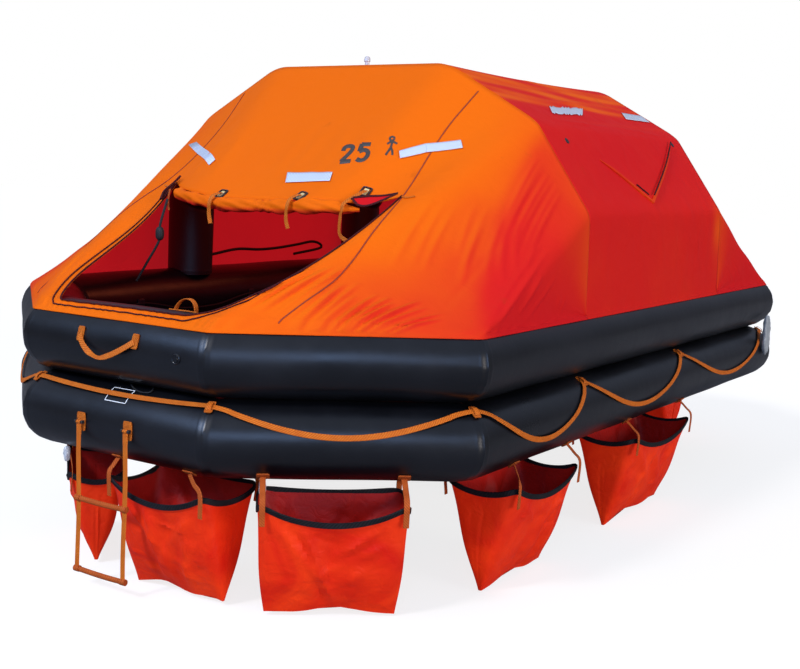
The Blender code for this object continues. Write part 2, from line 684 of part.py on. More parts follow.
def make_sill_loop(end, side):
    """A boarding loop that stands on the inner side of the upper tube's crown."""
    lean = math.radians(25)
    foot_r = TUBE_RADIUS + TOUCH + 0.003
    centre_y = -side * -0.220
    foot = (side * (HALF_LENGTH - foot_r * math.sin(lean)), UPPER_Z + foot_r * math.cos(lean))
    plate = box(
        f"sill_loop_{end}",
        (0.050, 0.170, 0.006),
        (foot[0], centre_y, foot[1]),
        WEBBING,
        Matrix.Rotation(-side * lean, 4, "Y"),
    )
    points = []
    for k in range(9):
        turn = math.pi * k / 8
        rise = 0.060 * math.sin(turn)
        points.append((foot[0] - side * 0.3 * rise, centre_y + 0.060 * math.cos(turn), foot[1] + rise))
    united(plate, [settle(rod("loop", points, 0.006, WEBBING))])


def make_righting_straps():
    """Two straps across the floor's underside with a cross strap between, to turn the raft over by."""
    z = FLOOR_BOTTOM - TOUCH - 0.002
    reach = 1.05
    first = box("righting_straps", (0.050, 2 * reach, 0.004), (-0.25, 0, z), WEBBING)
    second = box("second", (0.050, 2 * reach, 0.004), (0.25, 0, z), WEBBING)
    steps = [box("step", (0.55, 0.045, 0.004), (0, y, z), WEBBING) for y in (-0.75, -0.25, 0.25, 0.75)]
    united(first, [second, *steps])


def make_gas_cylinder():
    """The gas cylinder lies under the floor on the starboard side, held by two bands. Its profile
    turns about X, from its round foot at butt_x to its neck. A hose leads from its valve, clear of
    the pockets, up to the lower tube."""
    y, z, butt_x = 0.930, FLOOR_BOTTOM - 0.082, -0.360
    length, radius, sides = 0.620, 0.068, 20
    profile = [(radius * 0.55, 0.012), (radius, 0.050), (radius, length - 0.075)]
    profile += [(radius * 0.62, length - 0.025), (0.020, length), (0.020, length + 0.022)]
    turn = np.arange(sides) * 2 * math.pi / sides
    points = [
        (butt_x - along, y + r * math.cos(t), z + r * math.sin(t)) for r, along in profile for t in turn
    ]
    faces = [
        [k * sides + i, (k + 1) * sides + i, (k + 1) * sides + (i + 1) % sides, k * sides + (i + 1) % sides]
        for k in range(len(profile) - 1)
        for i in range(sides)
    ]
    faces += [list(range(sides)), list(range(len(points) - sides, len(points)))]
    tank = add_object("gas_cylinder", mesh_from("gas_cylinder", points, faces), STEEL)
    tank.data.shade_smooth()
    valve_x = butt_x - profile[-1][1] - TOUCH - 0.022
    body = box("cylinder_valve", (0.044, 0.040, 0.052), (valve_x, y, z), BLACK)
    united(body, [cylinder("outlet", 0.011, 0.040, (valve_x, y + 0.035, z), (0, 1, 0), BLACK, 14)])
    start_y, end_y = y + 0.056, HALF_WIDTH - 0.060
    end_z = LOWER_Z - math.sqrt(TUBE_RADIUS**2 - 0.060**2) - 0.0105
    hose = []
    for share in np.linspace(0, 1, 13):
        hose.append((
            valve_x - 0.100 * (1 - math.cos(math.pi * share / 2)),
            start_y + (end_y - start_y) * share,
            z + (end_z - z) * share**2 - 0.020 * math.sin(math.pi * share) ** 2,
        ))
    rod("inflation_hose", hose, 0.009, BLACK)
    reach = radius + 0.0041
    for name, along in (("cylinder_band_1", 0.140), ("cylinder_band_2", length - 0.200)):
        x = butt_x - along
        plate = box(name, (0.050, 0.240, 0.005), (x, y, FLOOR_BOTTOM - TOUCH - 0.0025), WEBBING)
        arc = [(x, y + reach * math.cos(t), z + reach * math.sin(t)) for t in np.linspace(-math.pi, 0, 13)]
        top = FLOOR_BOTTOM - 0.003
        arc = [(x, y - reach, top)] + arc + [(x, y + reach, top)]
        united(plate, [settle(rod("band", arc, 0.003, WEBBING))])


def make_fittings():
    post, lamp = 0.058, 0.040
    post_z = TOP_CORNER[1] - LIGHT_DIP + post / 2
    cylinder("canopy_light", 0.013, post, (-ARCH_X + 0.02, 0, post_z), (0, 0, 1), LAMP, 16, top=0.017)
    lamp_z = TOP_CORNER[1] - ARCH_INSET - ARCH_RADIUS - 0.0009 - lamp / 2
    cylinder("cabin_light", 0.022, lamp, (-ARCH_X, 0, lamp_z), (0, 0, 1), LAMP, 16)
    # Each row: name, place, and how far the cell's corner reaches in towards the tube's lowest line.
    cells = (("light_cell_1", -2.660, 0.360, 0.015), ("light_cell_2", -2.500, -0.660, 0.018))
    for name, x, y, reach in cells:
        gap, _ = foot_on_run(nearest_run(x, y), x, y)
        tube_low = LOWER_Z - math.sqrt(TUBE_RADIUS**2 - (gap - reach) ** 2)
        box(name, (0.030, 0.020, 0.070), (x, y, tube_low - 0.035 - TOUCH), LAMP)
    for name, x, y, z in (
        ("relief_valve_front", -OUTER_X - TOUCH - 0.004, -0.400, UPPER_Z),
        ("relief_valve_rear", OUTER_X + TOUCH + 0.004, 0.400, LOWER_Z),
    ):
        cylinder(name, 0.022, 0.008, (x, y, z), (1, 0, 0), BLACK, 20)
    plate = box("tow_patch", (0.006, 0.120, 0.090), (OUTER_X + TOUCH + 0.003, TOW_Y, UPPER_Z), BLACK)
    bow = [
        (OUTER_X + 0.005 + 0.034 * math.sin(t), TOW_Y + 0.030 * math.cos(t), UPPER_Z)
        for t in np.linspace(0, math.pi, 13)
    ]
    united(plate, [settle(rod("tow_ring", bow, 0.005, STEEL))])
    cover_y = -(HALF_WIDTH + TUBE_RADIUS + 0.017 + TOUCH)
    box("valve_cover", (0.110, 0.034, 0.270), (1.840, cover_y, LOWER_Z + 0.135), LAMP)


def make_gutters():
    """A V-shaped rain gutter on each side wall, which leads to a drain at its point."""
    low, high = np.array(KNEE), np.array(SHOULDER)
    slope = (high - low) / np.linalg.norm(high - low)
    out = np.array([slope[1], -slope[0]]) * -1
    if out[0] < 0:
        out = -out
    for name, side in (("rain_gutter_port", -1), ("rain_gutter_starboard", 1)):
        ends = []
        for x, rise in ((-0.505, 0.350), (-0.045, 0.050), (0.760, 0.475)):
            y, z = low + slope * rise + out * (0.0035 + TOUCH)
            ends.append((-side * x, side * y, z))
        facing = Vector((0, side * out[0], out[1]))
        arms = [strap(name, a, b, 0.030, 0.006, facing, CANOPY) for a, b in zip(ends, ends[1:])]
        united(arms[0], arms[1:])


make_tubes()
make_floor()
make_arches()
make_end_panels()
make_roof_and_walls()
make_pockets()
for end_name, end_side in (("front", -1), ("rear", 1)):
    make_ladder(end_name, end_side)
    make_handle(end_name, end_side)
    make_sill_loop(end_name, end_side)
make_outer_lifeline()
make_inner_lifeline()
make_righting_straps()
make_gas_cylinder()
make_fittings()
make_gutters()
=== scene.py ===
import math

import bpy
import numpy as np
from mathutils import Matrix, Vector


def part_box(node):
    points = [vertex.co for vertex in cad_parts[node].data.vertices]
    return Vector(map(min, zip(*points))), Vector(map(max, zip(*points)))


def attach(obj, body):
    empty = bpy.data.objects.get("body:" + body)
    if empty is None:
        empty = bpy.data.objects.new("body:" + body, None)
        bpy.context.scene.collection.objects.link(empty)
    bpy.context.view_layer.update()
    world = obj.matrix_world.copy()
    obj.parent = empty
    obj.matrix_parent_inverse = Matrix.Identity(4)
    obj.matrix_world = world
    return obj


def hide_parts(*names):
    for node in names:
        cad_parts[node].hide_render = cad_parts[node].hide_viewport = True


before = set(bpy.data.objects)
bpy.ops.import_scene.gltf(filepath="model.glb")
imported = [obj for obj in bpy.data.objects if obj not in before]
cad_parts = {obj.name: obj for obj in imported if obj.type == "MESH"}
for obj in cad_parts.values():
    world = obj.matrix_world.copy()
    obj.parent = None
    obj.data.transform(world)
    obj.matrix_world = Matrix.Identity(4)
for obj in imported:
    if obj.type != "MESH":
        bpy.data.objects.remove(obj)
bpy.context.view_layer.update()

# The raft's looks, in metres: -X is the front end and -Y the port side. The origin is in the
# middle of the raft, level with the lower tube's underside.

LOW, HIGH = (np.array(corner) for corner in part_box("lower_tube"))
TUBE_R = (HIGH[2] - LOW[2]) / 2
LOWER_Z = (HIGH[2] + LOW[2]) / 2
UPPER_Z = sum(corner.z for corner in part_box("upper_tube")) / 2
HALF_LENGTH, HALF_WIDTH = HIGH[0] - TUBE_R, HIGH[1] - TUBE_R
END_HALF, SIDE_HALF = 0.487, 1.940
OUTER_X = HALF_LENGTH + TUBE_R
FLOOR_LOW, FLOOR_HIGH = (corner.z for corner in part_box("floor"))

# The canopy: its line over an arch, as y and z at the knots of its cross parameter, and its skirt.
KNOTS = (0.0, 0.18, 0.35, 0.70, 1.0)
SKIRT_ANGLE = math.radians(50)
SKIRT_REACH = 0.1786
APRON_ANGLE = math.radians(7)
APRON = 0.035
APRON_REACH = TUBE_R + 0.0042 - SKIRT_REACH
SKIRT_OUT = SKIRT_REACH * math.cos(SKIRT_ANGLE)
SKIRT_Z = UPPER_Z + SKIRT_REACH * math.sin(SKIRT_ANGLE)
ARCH_Y = (0.0, 0.560, 1.080, 1.390, HALF_WIDTH + SKIRT_OUT)
ARCH_Z = (1.820, 1.820, 1.530, 1.080, SKIRT_Z)
RIDGE_X = 0.965
ROOF_SAG = 0.012
END_SAG = 0.105
CLOTH = 0.0025

# The entrance, in the end panel's own parameters. Each pair is to port, then to starboard.
DOOR_HEAD, HEAD_DIP, DOOR_SILL = 0.396, 0.104, 0.975
DOOR_CORNERS = (0.306, 0.265)
DOOR_ROUND_U, DOOR_ROUND_V = (0.125, 0.050), 0.16
# The end panel's half width, what it loses by v, and its height.
PANEL_HALF, PANEL_NARROWING, PANEL_HEIGHT = 2.9, 1.5, 1.9
ROLL_OUT, ROLL_DROP = 0.010, 0.031  # the rolled curtain's middle from the entrance's head

ARCH_R, ARCH_INSET, ARCH_X = 0.135, 0.146, RIDGE_X - 0.062
WEB = 0.025  # webbing width
CORD_SIDES = 8
SHARP_ANGLE = math.radians(35)


# Helpers


def linear(code):
    """The linear colour of an sRGB hex value."""
    parts = [int(code[i : i + 2], 16) / 255 for i in (1, 3, 5)]
    return (*(c / 12.92 if c <= 0.04045 else ((c + 0.055) / 1.055) ** 2.4 for c in parts), 1.0)


def smooth(low, high, x):
    """0 below low, 1 above high, and an even S between."""
    t = np.clip((x - low) / (high - low), 0, 1)
    return t * t * (3 - 2 * t)


def unit(vectors):
    return vectors / np.maximum(np.linalg.norm(vectors, axis=-1, keepdims=True), 1e-12)


def grid_shape(grid, uv=None, around=False, loop=False, keep=None, slot=0, caps=(True, True), inside=None):
    """A shape over a grid of points: (points, faces, corner UVs, material slot). around joins the
    last column to the first, and loop the last row to the first; a grid that only goes around is
    a tube, whose two ends have caps. keep says which cells stay. A shape whose faces look inwards,
    to the point inside or to its own middle, by the sign of its volume, has them turned round."""
    rows, columns = grid.shape[:2]
    row_count, column_count = rows if loop else rows - 1, columns if around else columns - 1
    r, c = np.meshgrid(np.arange(row_count), np.arange(column_count), indexing="ij")
    if keep is not None:
        r, c = r[keep], c[keep]
    r, c = r.ravel(), c.ravel()
    corners = np.stack([r, r + 1, r + 1, r]), np.stack([c, c, c + 1, c + 1])
    faces = ((corners[0] % rows) * columns + corners[1] % columns).T
    if uv is None:
        uv = np.stack(np.meshgrid(np.arange(rows + 1.0), np.arange(columns + 1.0), indexing="ij"), axis=-1)
    corner_uv = uv[corners[0], corners[1]].transpose(1, 0, 2)
    points = grid.reshape(-1, 3)
    middle = points.mean(axis=0) if inside is None else np.array(inside)
    a, b, d, e = (points[faces[:, i]] - middle for i in range(4))
    turn = (np.cross(b, d) * a).sum() + (np.cross(d, e) * a).sum() < 0
    if turn:
        faces, corner_uv = faces[:, ::-1], corner_uv[:, ::-1]
    faces, corner_uv = faces.tolist(), corner_uv.reshape(-1, 2)
    if around and not loop:
        first, last = np.arange(columns), np.arange(columns) + (rows - 1) * columns
        ends = [first[::-1], last] if turn else [first, last[::-1]]
        ends = [end.tolist() for end, wanted in zip(ends, caps) if wanted]
        faces += ends
        corner_uv = np.vstack([corner_uv, np.zeros((len(ends) * columns, 2))])
    if keep is not None:
        used = np.unique(np.concatenate([np.array(face) for face in faces]))
        place = np.full(len(points), -1)
        place[used] = np.arange(len(used))
        points, faces = points[used], [[int(place[i]) for i in face] for face in faces]
    return points, faces, corner_uv, slot


def add_piece(name, shapes, materials, replaces=(), body="raft", wall=0.0, painted_light=None, turn=1):
    """One object of these shapes, with their UVs and material slots, that rides on the body. wall
    gives an open sheet a thickness on its inner side. A turn of -1 takes the shapes half a turn
    about Z, to the raft's other end or side."""
    points = np.vstack([shape[0] for shape in shapes]) * (turn, turn, 1)
    starts = np.cumsum([0] + [len(shape[0]) for shape in shapes])
    faces = [[i + int(start) for i in face] for shape, start in zip(shapes, starts) for face in shape[1]]
    marks = np.concatenate([np.full(len(shape[1]), shape[3]) for shape in shapes])
    mesh = bpy.data.meshes.new(name)
    mesh.from_pydata(points.tolist(), [], faces)
    layer = mesh.uv_layers.new(name="UVMap")
    layer.data.foreach_set("uv", np.vstack([shape[2] for shape in shapes]).astype(np.float32).ravel())
    mesh.polygons.foreach_set("material_index", marks.astype(np.int32))
    for material in materials:
        mesh.materials.append(material)
    # This attribute carries painted light and shade: how lit the cloth is painted, from red to orange.
    if painted_light is not None:
        attribute = mesh.attributes.new("painted_light", "FLOAT", "POINT")
        attribute.data.foreach_set("value", painted_light.astype(np.float32).ravel())
    mesh.shade_smooth()
    mesh.set_sharp_from_angle(angle=SHARP_ANGLE)
    item = bpy.data.objects.new(name, mesh)
    bpy.context.scene.collection.objects.link(item)
    if wall:
        sheet = item.modifiers.new("wall", "SOLIDIFY")
        sheet.thickness = wall
        sheet.offset = -1.0
        sheet.material_offset = 1 if len(materials) > 1 else 0
    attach(item, body)
    if replaces:
        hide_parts(*replaces)
    return item


def smooth_line(points, spacing, closed=False):
    """A Catmull-Rom curve through the points, read at an even spacing."""
    points = np.array(points, float)
    if closed:
        ring = np.vstack([points[-1:], points, points[:2]])
    else:
        ring = np.vstack([2 * points[:1] - points[1:2], points, 2 * points[-1:] - points[-2:-1]])
    t = np.linspace(0, 1, 12, endpoint=False)[:, None, None]
    a, b, c, d = ring[:-3], ring[1:-2], ring[2:-1], ring[3:]
    curve = 0.5 * (2 * b + (c - a) * t + (2 * a - 5 * b + 4 * c - d) * t**2 + (3 * b - a - 3 * c + d) * t**3)
    curve = curve.transpose(1, 0, 2).reshape(-1, points.shape[1])
    curve = np.vstack([curve, points[:1] if closed else points[-1:]])
    return evenly(curve, spacing)[: -1 if closed else None]


def evenly(line, spacing):
    """The line read again at an even spacing, with its two ends kept."""
    steps = np.linalg.norm(np.diff(line, axis=0), axis=1)
    length = np.concatenate([[0.0], np.cumsum(steps)])
    at = np.linspace(0, length[-1], max(3, int(round(length[-1] / spacing)) + 1))
    return np.stack([np.interp(at, length, line[:, k]) for k in range(line.shape[1])], axis=1)


def swept(path, facing, profile, closed=False, slot=0, scale=None):
    """A closed profile, as (across, out) pairs, carried along a path. Out is the facing direction
    made square to the path. UVs are metres along and metres round the profile."""
    path, profile = np.array(path, float), np.array(profile, float)
    if closed:
        ahead = np.roll(path, -1, axis=0) - np.roll(path, 1, axis=0)
    else:
        ahead = np.gradient(path, axis=0)
    ahead = unit(ahead)
    facing = np.broadcast_to(np.array(facing, float), path.shape)
    out = unit(facing - (facing * ahead).sum(axis=1, keepdims=True) * ahead)
    across = np.cross(ahead, out)
    size = np.ones(len(path)) if scale is None else np.array(scale)
    flat = profile[None] * size[:, None, None]
    grid = path[:, None] + flat[..., :1] * across[:, None] + flat[..., 1:] * out[:, None]
    steps = np.linalg.norm(np.diff(np.vstack([path, path[:1]]), axis=0), axis=1)
    along = np.concatenate([[0.0], np.cumsum(steps)])
    rim = np.linalg.norm(np.diff(np.vstack([profile, profile[:1]]), axis=0), axis=1)
    girth = np.concatenate([[0.0], np.cumsum(rim)])
    uv = np.stack(np.meshgrid(along, girth, indexing="ij"), axis=-1)
    return grid_shape(grid, uv, around=True, loop=closed, slot=slot)


def band(width, thick):
    """The profile of a woven band: flat faces, and edges a little thinner than its middle."""
    half, edge, t = width / 2, min(width * 0.08, 0.003), thick / 2
    top = [(-half + edge, t), (0.0, t * 1.08), (half - edge, t)]
    return top + [(half, 0.0)] + [(x, -y) for x, y in reversed(top)] + [(-half, 0.0)]


def full_turn(sides):
    return np.arange(sides) * 2 * math.pi / sides


def round_profile(radius, sides=12):
    turn = full_turn(sides)
    return np.stack([np.cos(turn), np.sin(turn)], axis=1) * radius


def turned(profile, place, axis, sides=24, slot=0):
    """A profile of (radius, height) pairs turned about an axis through place, and capped."""
    axis = unit(np.array(axis, float))
    side = unit(np.cross(axis, (0.31, 0.95, 0.12)))
    other = np.cross(axis, side)
    turn = full_turn(sides)
    ring = np.cos(turn)[:, None] * side + np.sin(turn)[:, None] * other
    profile = np.array(profile, float)
    grid = np.array(place) + profile[:, :1, None] * ring + profile[:, 1:, None] * axis
    return grid_shape(grid, around=True, slot=slot)


def superball(rows, sides, power, pole):
    """A grid over the superellipsoid |x|^p + |y|^p + |z|^p = 1, open by a small angle at its poles."""
    down, turn = np.linspace(pole, math.pi - pole, rows)[:, None], full_turn(sides)
    axes = np.broadcast_arrays(np.sin(down) * np.cos(turn), np.sin(down) * np.sin(turn), np.cos(down))
    ball = np.stack(axes, axis=-1)
    return ball / (np.abs(ball) ** power).sum(axis=-1, keepdims=True) ** (1 / power)


def soft_block(size, place, axes, slot=0, power=5.0):
    """A block with rounded edges: a superellipsoid scaled to the size and turned so that its own
    axes lie along the three given directions."""
    ball = superball(13, 24, power, 0.02)
    grid = np.array(place) + (ball * np.array(size) / 2) @ np.array(axes, float)
    return grid_shape(grid, around=True, slot=slot)


def octagon(offset=0.0):
    """The eight corners of the tubes' centre line, moved outwards along their mitres."""
    corners = [
        (-HALF_LENGTH, END_HALF),
        (-HALF_LENGTH, -END_HALF),
        (-SIDE_HALF, -HALF_WIDTH),
        (SIDE_HALF, -HALF_WIDTH),
    ]
    points = np.array(corners + [(-x, -y) for x, y in corners])
    ahead = unit(np.roll(points, -1, axis=0) - points)
    outward = np.stack([ahead[:, 1], -ahead[:, 0]], axis=1)
    before = np.roll(outward, 1, axis=0)
    mitre = (before + outward) / (1 + (before * outward).sum(axis=1))[:, None]
    return points + offset * mitre


# Materials


def add_node(tree, kind, inputs=None, **settings):
    """A shader node with its settings. inputs maps a socket's name or number to a value or to the
    socket that feeds it."""
    item = tree.nodes.new("ShaderNode" + kind)
    for key, value in settings.items():
        setattr(item, key, value)
    for key, value in (inputs or {}).items():
        if isinstance(value, bpy.types.NodeSocket):
            tree.links.new(value, item.inputs[key])
        else:
            item.inputs[key].default_value = value
    return item


def new_material(name, **values):
    """A material with a Principled shader, whose uniform values are set on its own sockets."""
    material = bpy.data.materials.new(name)
    material.use_nodes = True
    shader = material.node_tree.nodes["Principled BSDF"]
    for key, value in values.items():
        shader.inputs[key.replace("_", " ")].default_value = value
    return material, material.node_tree, shader


def connect(tree, shader, share, dark, light, roughness=None, height=None, strength=0.5, distance=0.002):
    """Feeds the shader's colour, by a share from one shade to another, its roughness and bump."""
    shades = {0: share, 6: linear(dark) if isinstance(dark, str) else dark, 7: linear(light)}
    colour = add_node(tree, "Mix", shades, data_type="RGBA").outputs[2]
    tree.links.new(colour, shader.inputs["Base Color"])
    if roughness is not None:
        tree.links.new(roughness, shader.inputs["Roughness"])
    if height is not None:
        bump = add_node(
            tree, "Bump", {"Strength": strength, "Distance": distance, "Height": height}
        ).outputs["Normal"]
        tree.links.new(bump, shader.inputs["Normal"])


def coated_nylon():
    """Canopy cloth: nylon coated with orange rubber on one side, calendered smooth. Its threads
    are too fine to see, so the bump holds only soft creases and a mottle about 8 mm fine. Its
    colour carries painted light and shade: panels that face along the raft are painted orange,
    as lit, and the others red, as in shade."""
    material, tree, shader = new_material("coated_nylon", Specular_IOR_Level=0.04)
    where = add_node(tree, "TexCoord").outputs["Object"]
    # Painted light and shade: the per-point share of orange over red that the cloth's pieces carry.
    painted_light = add_node(tree, "Attribute", attribute_name="painted_light").outputs["Fac"]
    cloud = add_node(tree, "TexNoise", {"Vector": where, "Scale": 1.6, "Detail": 3.0}).outputs["Fac"]
    wave = add_node(tree, "Math", {0: cloud, 1: -0.5}, operation="ADD").outputs[0]
    wave = add_node(tree, "Math", {0: wave, 1: 0.35}, operation="MULTIPLY").outputs[0]
    mixed = add_node(tree, "Math", {0: painted_light, 1: wave}, operation="ADD", use_clamp=True).outputs[0]
    low = add_node(
        tree, "Mix", {0: mixed, 6: linear("#CC161E"), 7: linear("#E03012")}, data_type="RGBA"
    ).outputs[2]
    low_mix = add_node(
        tree, "MapRange", {0: mixed, 1: 0.30, 2: 1.0}, interpolation_type="SMOOTHSTEP"
    ).outputs[0]
    base = add_node(tree, "Mix", {0: low_mix, 6: low, 7: linear("#EA680A")}, data_type="RGBA").outputs[2]
    specks = add_node(
        tree, "TexNoise", {"Vector": where, "Scale": 5.0, "Detail": 5.0, "Roughness": 0.62}
    ).outputs["Fac"]
    dirt = add_node(tree, "MapRange", {0: specks, 1: 0.66, 2: 0.80, 4: 0.45}).outputs[0]
    crease = add_node(
        tree, "TexNoise", {"Vector": where, "Scale": 9.0, "Detail": 4.0, "Roughness": 0.55, "Distortion": 0.6}
    ).outputs["Fac"]
    fine = add_node(tree, "TexNoise", {"Vector": where, "Scale": 120.0, "Detail": 2.0}).outputs["Fac"]
    height = add_node(tree, "Math", {0: fine, 1: 0.05, 2: crease}, operation="MULTIPLY_ADD").outputs[0]
    rough = add_node(tree, "MapRange", {0: crease, 3: 0.50, 4: 0.72}).outputs[0]
    connect(tree, shader, dirt, base, "#A84416", rough, height, 0.35, 0.012)
    return material


def lining_cloth():
    """The canopy's uncoated inner face: red nylon, matt, with a painted glow, its emission, for
    the light that falls through it.
    """
    material, tree, shader = new_material("lining_cloth", Roughness=0.8, Specular_IOR_Level=0.1)
    # Painted light: this emission makes the cloth glow, though it is no lamp.
    shader.inputs["Emission Color"].default_value = linear("#B3161F")
    shader.inputs["Emission Strength"].default_value = 0.62
    where = add_node(tree, "TexCoord").outputs["Object"]
    cloud = add_node(tree, "TexNoise", {"Vector": where, "Scale": 3.0, "Detail": 4.0}).outputs["Fac"]
    connect(tree, shader, cloud, "#A8141F", "#CE2A2A", None, cloud, 0.3, 0.02)
    return material


def tube_rubber():
    """Buoyancy tubes: natural rubber on fabric, black with a soft gloss, pulled tight by the air.
    Dust dulls it in patches, and its surface rises and falls faintly over about 70 mm."""
    material, tree, shader = new_material("tube_rubber", Specular_IOR_Level=0.46)
    where = add_node(tree, "TexCoord").outputs["Object"]
    dust = add_node(
        tree, "TexNoise", {"Vector": where, "Scale": 2.4, "Detail": 6.0, "Roughness": 0.6}
    ).outputs["Fac"]
    share = add_node(tree, "MapRange", {0: dust, 1: 0.42, 2: 0.72, 4: 0.5}).outputs[0]
    rough = add_node(tree, "MapRange", {0: dust, 1: 0.3, 2: 0.7, 3: 0.26, 4: 0.42}).outputs[0]
    grain = add_node(
        tree, "TexNoise", {"Vector": where, "Scale": 14.0, "Detail": 5.0, "Roughness": 0.5}
    ).outputs["Fac"]
    connect(tree, shader, share, "#08090D", "#14161C", rough, grain, 0.25, 0.004)
    return material


def pocket_cloth(name="pocket_cloth", dark="#BE1406", light="#EA3E0E", glow=0.27):
    """Water pockets: thin coated nylon with soft creases, and a painted glow, its emission, for
    the daylight that shows through it.
    """
    material, tree, shader = new_material(name, Roughness=0.5, Specular_IOR_Level=0.15)
    # Painted light: this emission makes the cloth glow, though it is no lamp.
    shader.inputs["Emission Color"].default_value = linear("#D8240A")
    shader.inputs["Emission Strength"].default_value = glow
    where = add_node(tree, "TexCoord").outputs["Object"]
    cloud = add_node(
        tree, "TexNoise", {"Vector": where, "Scale": 4.0, "Detail": 4.0, "Distortion": 0.8}
    ).outputs["Fac"]
    share = add_node(tree, "MapRange", {0: cloud, 1: 0.3, 2: 0.7}).outputs[0]
    crease = add_node(
        tree, "TexNoise", {"Vector": where, "Scale": 16.0, "Detail": 5.0, "Distortion": 1.2}
    ).outputs["Fac"]
    connect(tree, shader, share, dark, light, None, crease, 0.5, 0.012)
    return material


def woven_webbing(name, dark, light, pitch=0.006):
    """Flat polyester webbing. Its weave is about 1.5 mm fine, and is drawn here as slanting ribs
    at the pitch given so that it shows. A mottle keeps the ribs from being even."""
    material, tree, shader = new_material(name, Roughness=0.7, Specular_IOR_Level=0.2)
    at = add_node(tree, "UVMap", uv_map="UVMap").outputs["UV"]
    ribs = add_node(
        tree,
        "TexWave",
        {"Vector": at, "Scale": 2 * math.pi / pitch / 20, "Distortion": 0.6, "Detail": 1.0},
        bands_direction="DIAGONAL",
    ).outputs["Fac"]
    where = add_node(tree, "TexCoord").outputs["Object"]
    cloud = add_node(tree, "TexNoise", {"Vector": where, "Scale": 22.0, "Detail": 3.0}).outputs["Fac"]
    woven = add_node(tree, "Math", {0: ribs, 1: cloud}, operation="MULTIPLY").outputs[0]
    connect(tree, shader, woven, dark, light, None, ribs, 0.6, 0.0012)
    return material


def reflective_tape():
    """Retroreflective tape: glass beads under a clear film, pale grey, welded in a 6 mm diamond
    grid that is drawn at 12 mm so that it shows."""
    material, tree, shader = new_material(
        "reflective_tape", Roughness=0.3, Coat_Weight=0.3, Coat_Roughness=0.15
    )
    at = add_node(tree, "UVMap", uv_map="UVMap").outputs["UV"]
    lines = []
    for turn in (45, -45):
        angled = add_node(tree, "Mapping", {"Vector": at, "Rotation": (0, 0, math.radians(turn))}).outputs[0]
        wave = add_node(tree, "TexWave", {"Vector": angled, "Scale": 2 * math.pi / 0.012 / 20}).outputs["Fac"]
        lines.append(wave)
    top = add_node(tree, "Math", {0: lines[0], 1: lines[1]}, operation="MAXIMUM").outputs[0]
    share = add_node(tree, "MapRange", {0: top, 1: 0.80, 2: 0.98}).outputs[0]
    connect(tree, shader, share, "#D3DCEC", "#B2BED2", None, share, 0.3, 0.001)
    return material


def speckled(name, dark, light, roughness, scale=40.0, strength=0.15, spread=0.06, depth=0.002, **values):
    """A plain moulded, cast, printed or rubber finish: a slight mottle in its colour, its surface
    and its roughness, which spreads evenly about its middle value."""
    material, tree, shader = new_material(name, **values)
    where = add_node(tree, "TexCoord").outputs["Object"]
    mottle = add_node(tree, "TexNoise", {"Vector": where, "Scale": scale, "Detail": 4.0}).outputs["Fac"]
    rough = add_node(tree, "MapRange", {0: mottle, 3: roughness - spread, 4: roughness + spread}).outputs[0]
    connect(tree, shader, mottle, dark, light, rough, mottle, strength, depth)
    return material


CANOPY = coated_nylon()
LINING = lining_cloth()
RUBBER = tube_rubber()
RUBBER_SKIN = {"scale": 6.0, "strength": 0.2, "spread": 0.08, "depth": 0.004}
ARCH_RUBBER = speckled("arch_rubber", "#150A0C", "#2A1214", 0.5, **RUBBER_SKIN)
FLOOR_RUBBER = speckled("floor_rubber", "#17171A", "#26262B", 0.6, **RUBBER_SKIN)
POCKET = pocket_cloth()
# The bags' inner face: the same cloth, darker and nearly without glow, as painted shade.
POCKET_SHADED_INNER = pocket_cloth("pocket_inner_shaded", "#8E1110", "#B51B14", 0.02)
WEBBING = woven_webbing("orange_webbing", "#B4520F", "#F08A26")
# A darker copy of the orange webbing, as painted shade, for the ladder's rungs, the pockets' straps and a
# corner tie.
SHADE_WEBBING = woven_webbing("painted_shade_webbing", "#9C4214", "#E0702A")
ZIP = woven_webbing("zip_tape", "#2A060A", "#6A141A", 0.008)
HEM = woven_webbing("black_binding", "#0B0B0D", "#26262B", 0.008)
TAPE = reflective_tape()
INK = speckled("marking_ink", "#33302F", "#4A403C", 0.6, scale=90.0)
CORD = speckled("braided_cord", "#060607", "#171719", 0.7, scale=260.0, strength=0.6)
FITTING = speckled("moulded_nylon", "#121215", "#24242A", 0.42)
STEEL = speckled("galvanised_steel", "#8D949A", "#B8BEC2", 0.38, scale=30.0, Metallic=0.9)
LAMP = speckled("lamp_plastic", "#C9CED4", "#EEF1F3", 0.25, scale=18.0, Transmission_Weight=0.3)
SEAM = speckled("seam_tape", "#7E2410", "#9A3414", 0.6, scale=70.0)
BRASS = speckled("buckle_tongue", "#C9A95A", "#E8D9A8", 0.4, scale=80.0)
COVER = speckled("cover_cloth", "#6E7478", "#B6BCC0", 0.5, scale=24.0, strength=0.8)
OUTLINE = speckled("white_print", "#D8D8D6", "#F2F2F0", 0.5, scale=60.0)


# Inflated tubes

SEAM_PINCH, PINCH_WIDTH = 0.0040, 0.018
SEAM_RIPPLE, RIPPLE_FADE = 0.0027, 0.055
SEAM_TAPE_PROUD, SEAM_TAPE_EDGE = 0.0005, (0.028, 0.032)
SWELL = 0.0010
BUTTON_PITCH, DIMPLE_TOP, DIMPLE_UNDER = 0.16, 0.018, 0.010


def mitred(path, normal, closed):
    """The in-plane outward direction at each corner of a flat path. It is longer than 1, so that
    the straight runs between keep their radius."""
    ahead = np.roll(path, -1, axis=0) - path
    if not closed:
        ahead[-1] = ahead[-2]
    ahead = unit(ahead)
    behind = np.roll(ahead, 1, axis=0)
    if not closed:
        behind[0] = ahead[0]
    out_a, out_b = np.cross(ahead, normal), np.cross(behind, normal)
    return (out_a + out_b) / (1 + (out_a * out_b).sum(axis=1))[:, None]


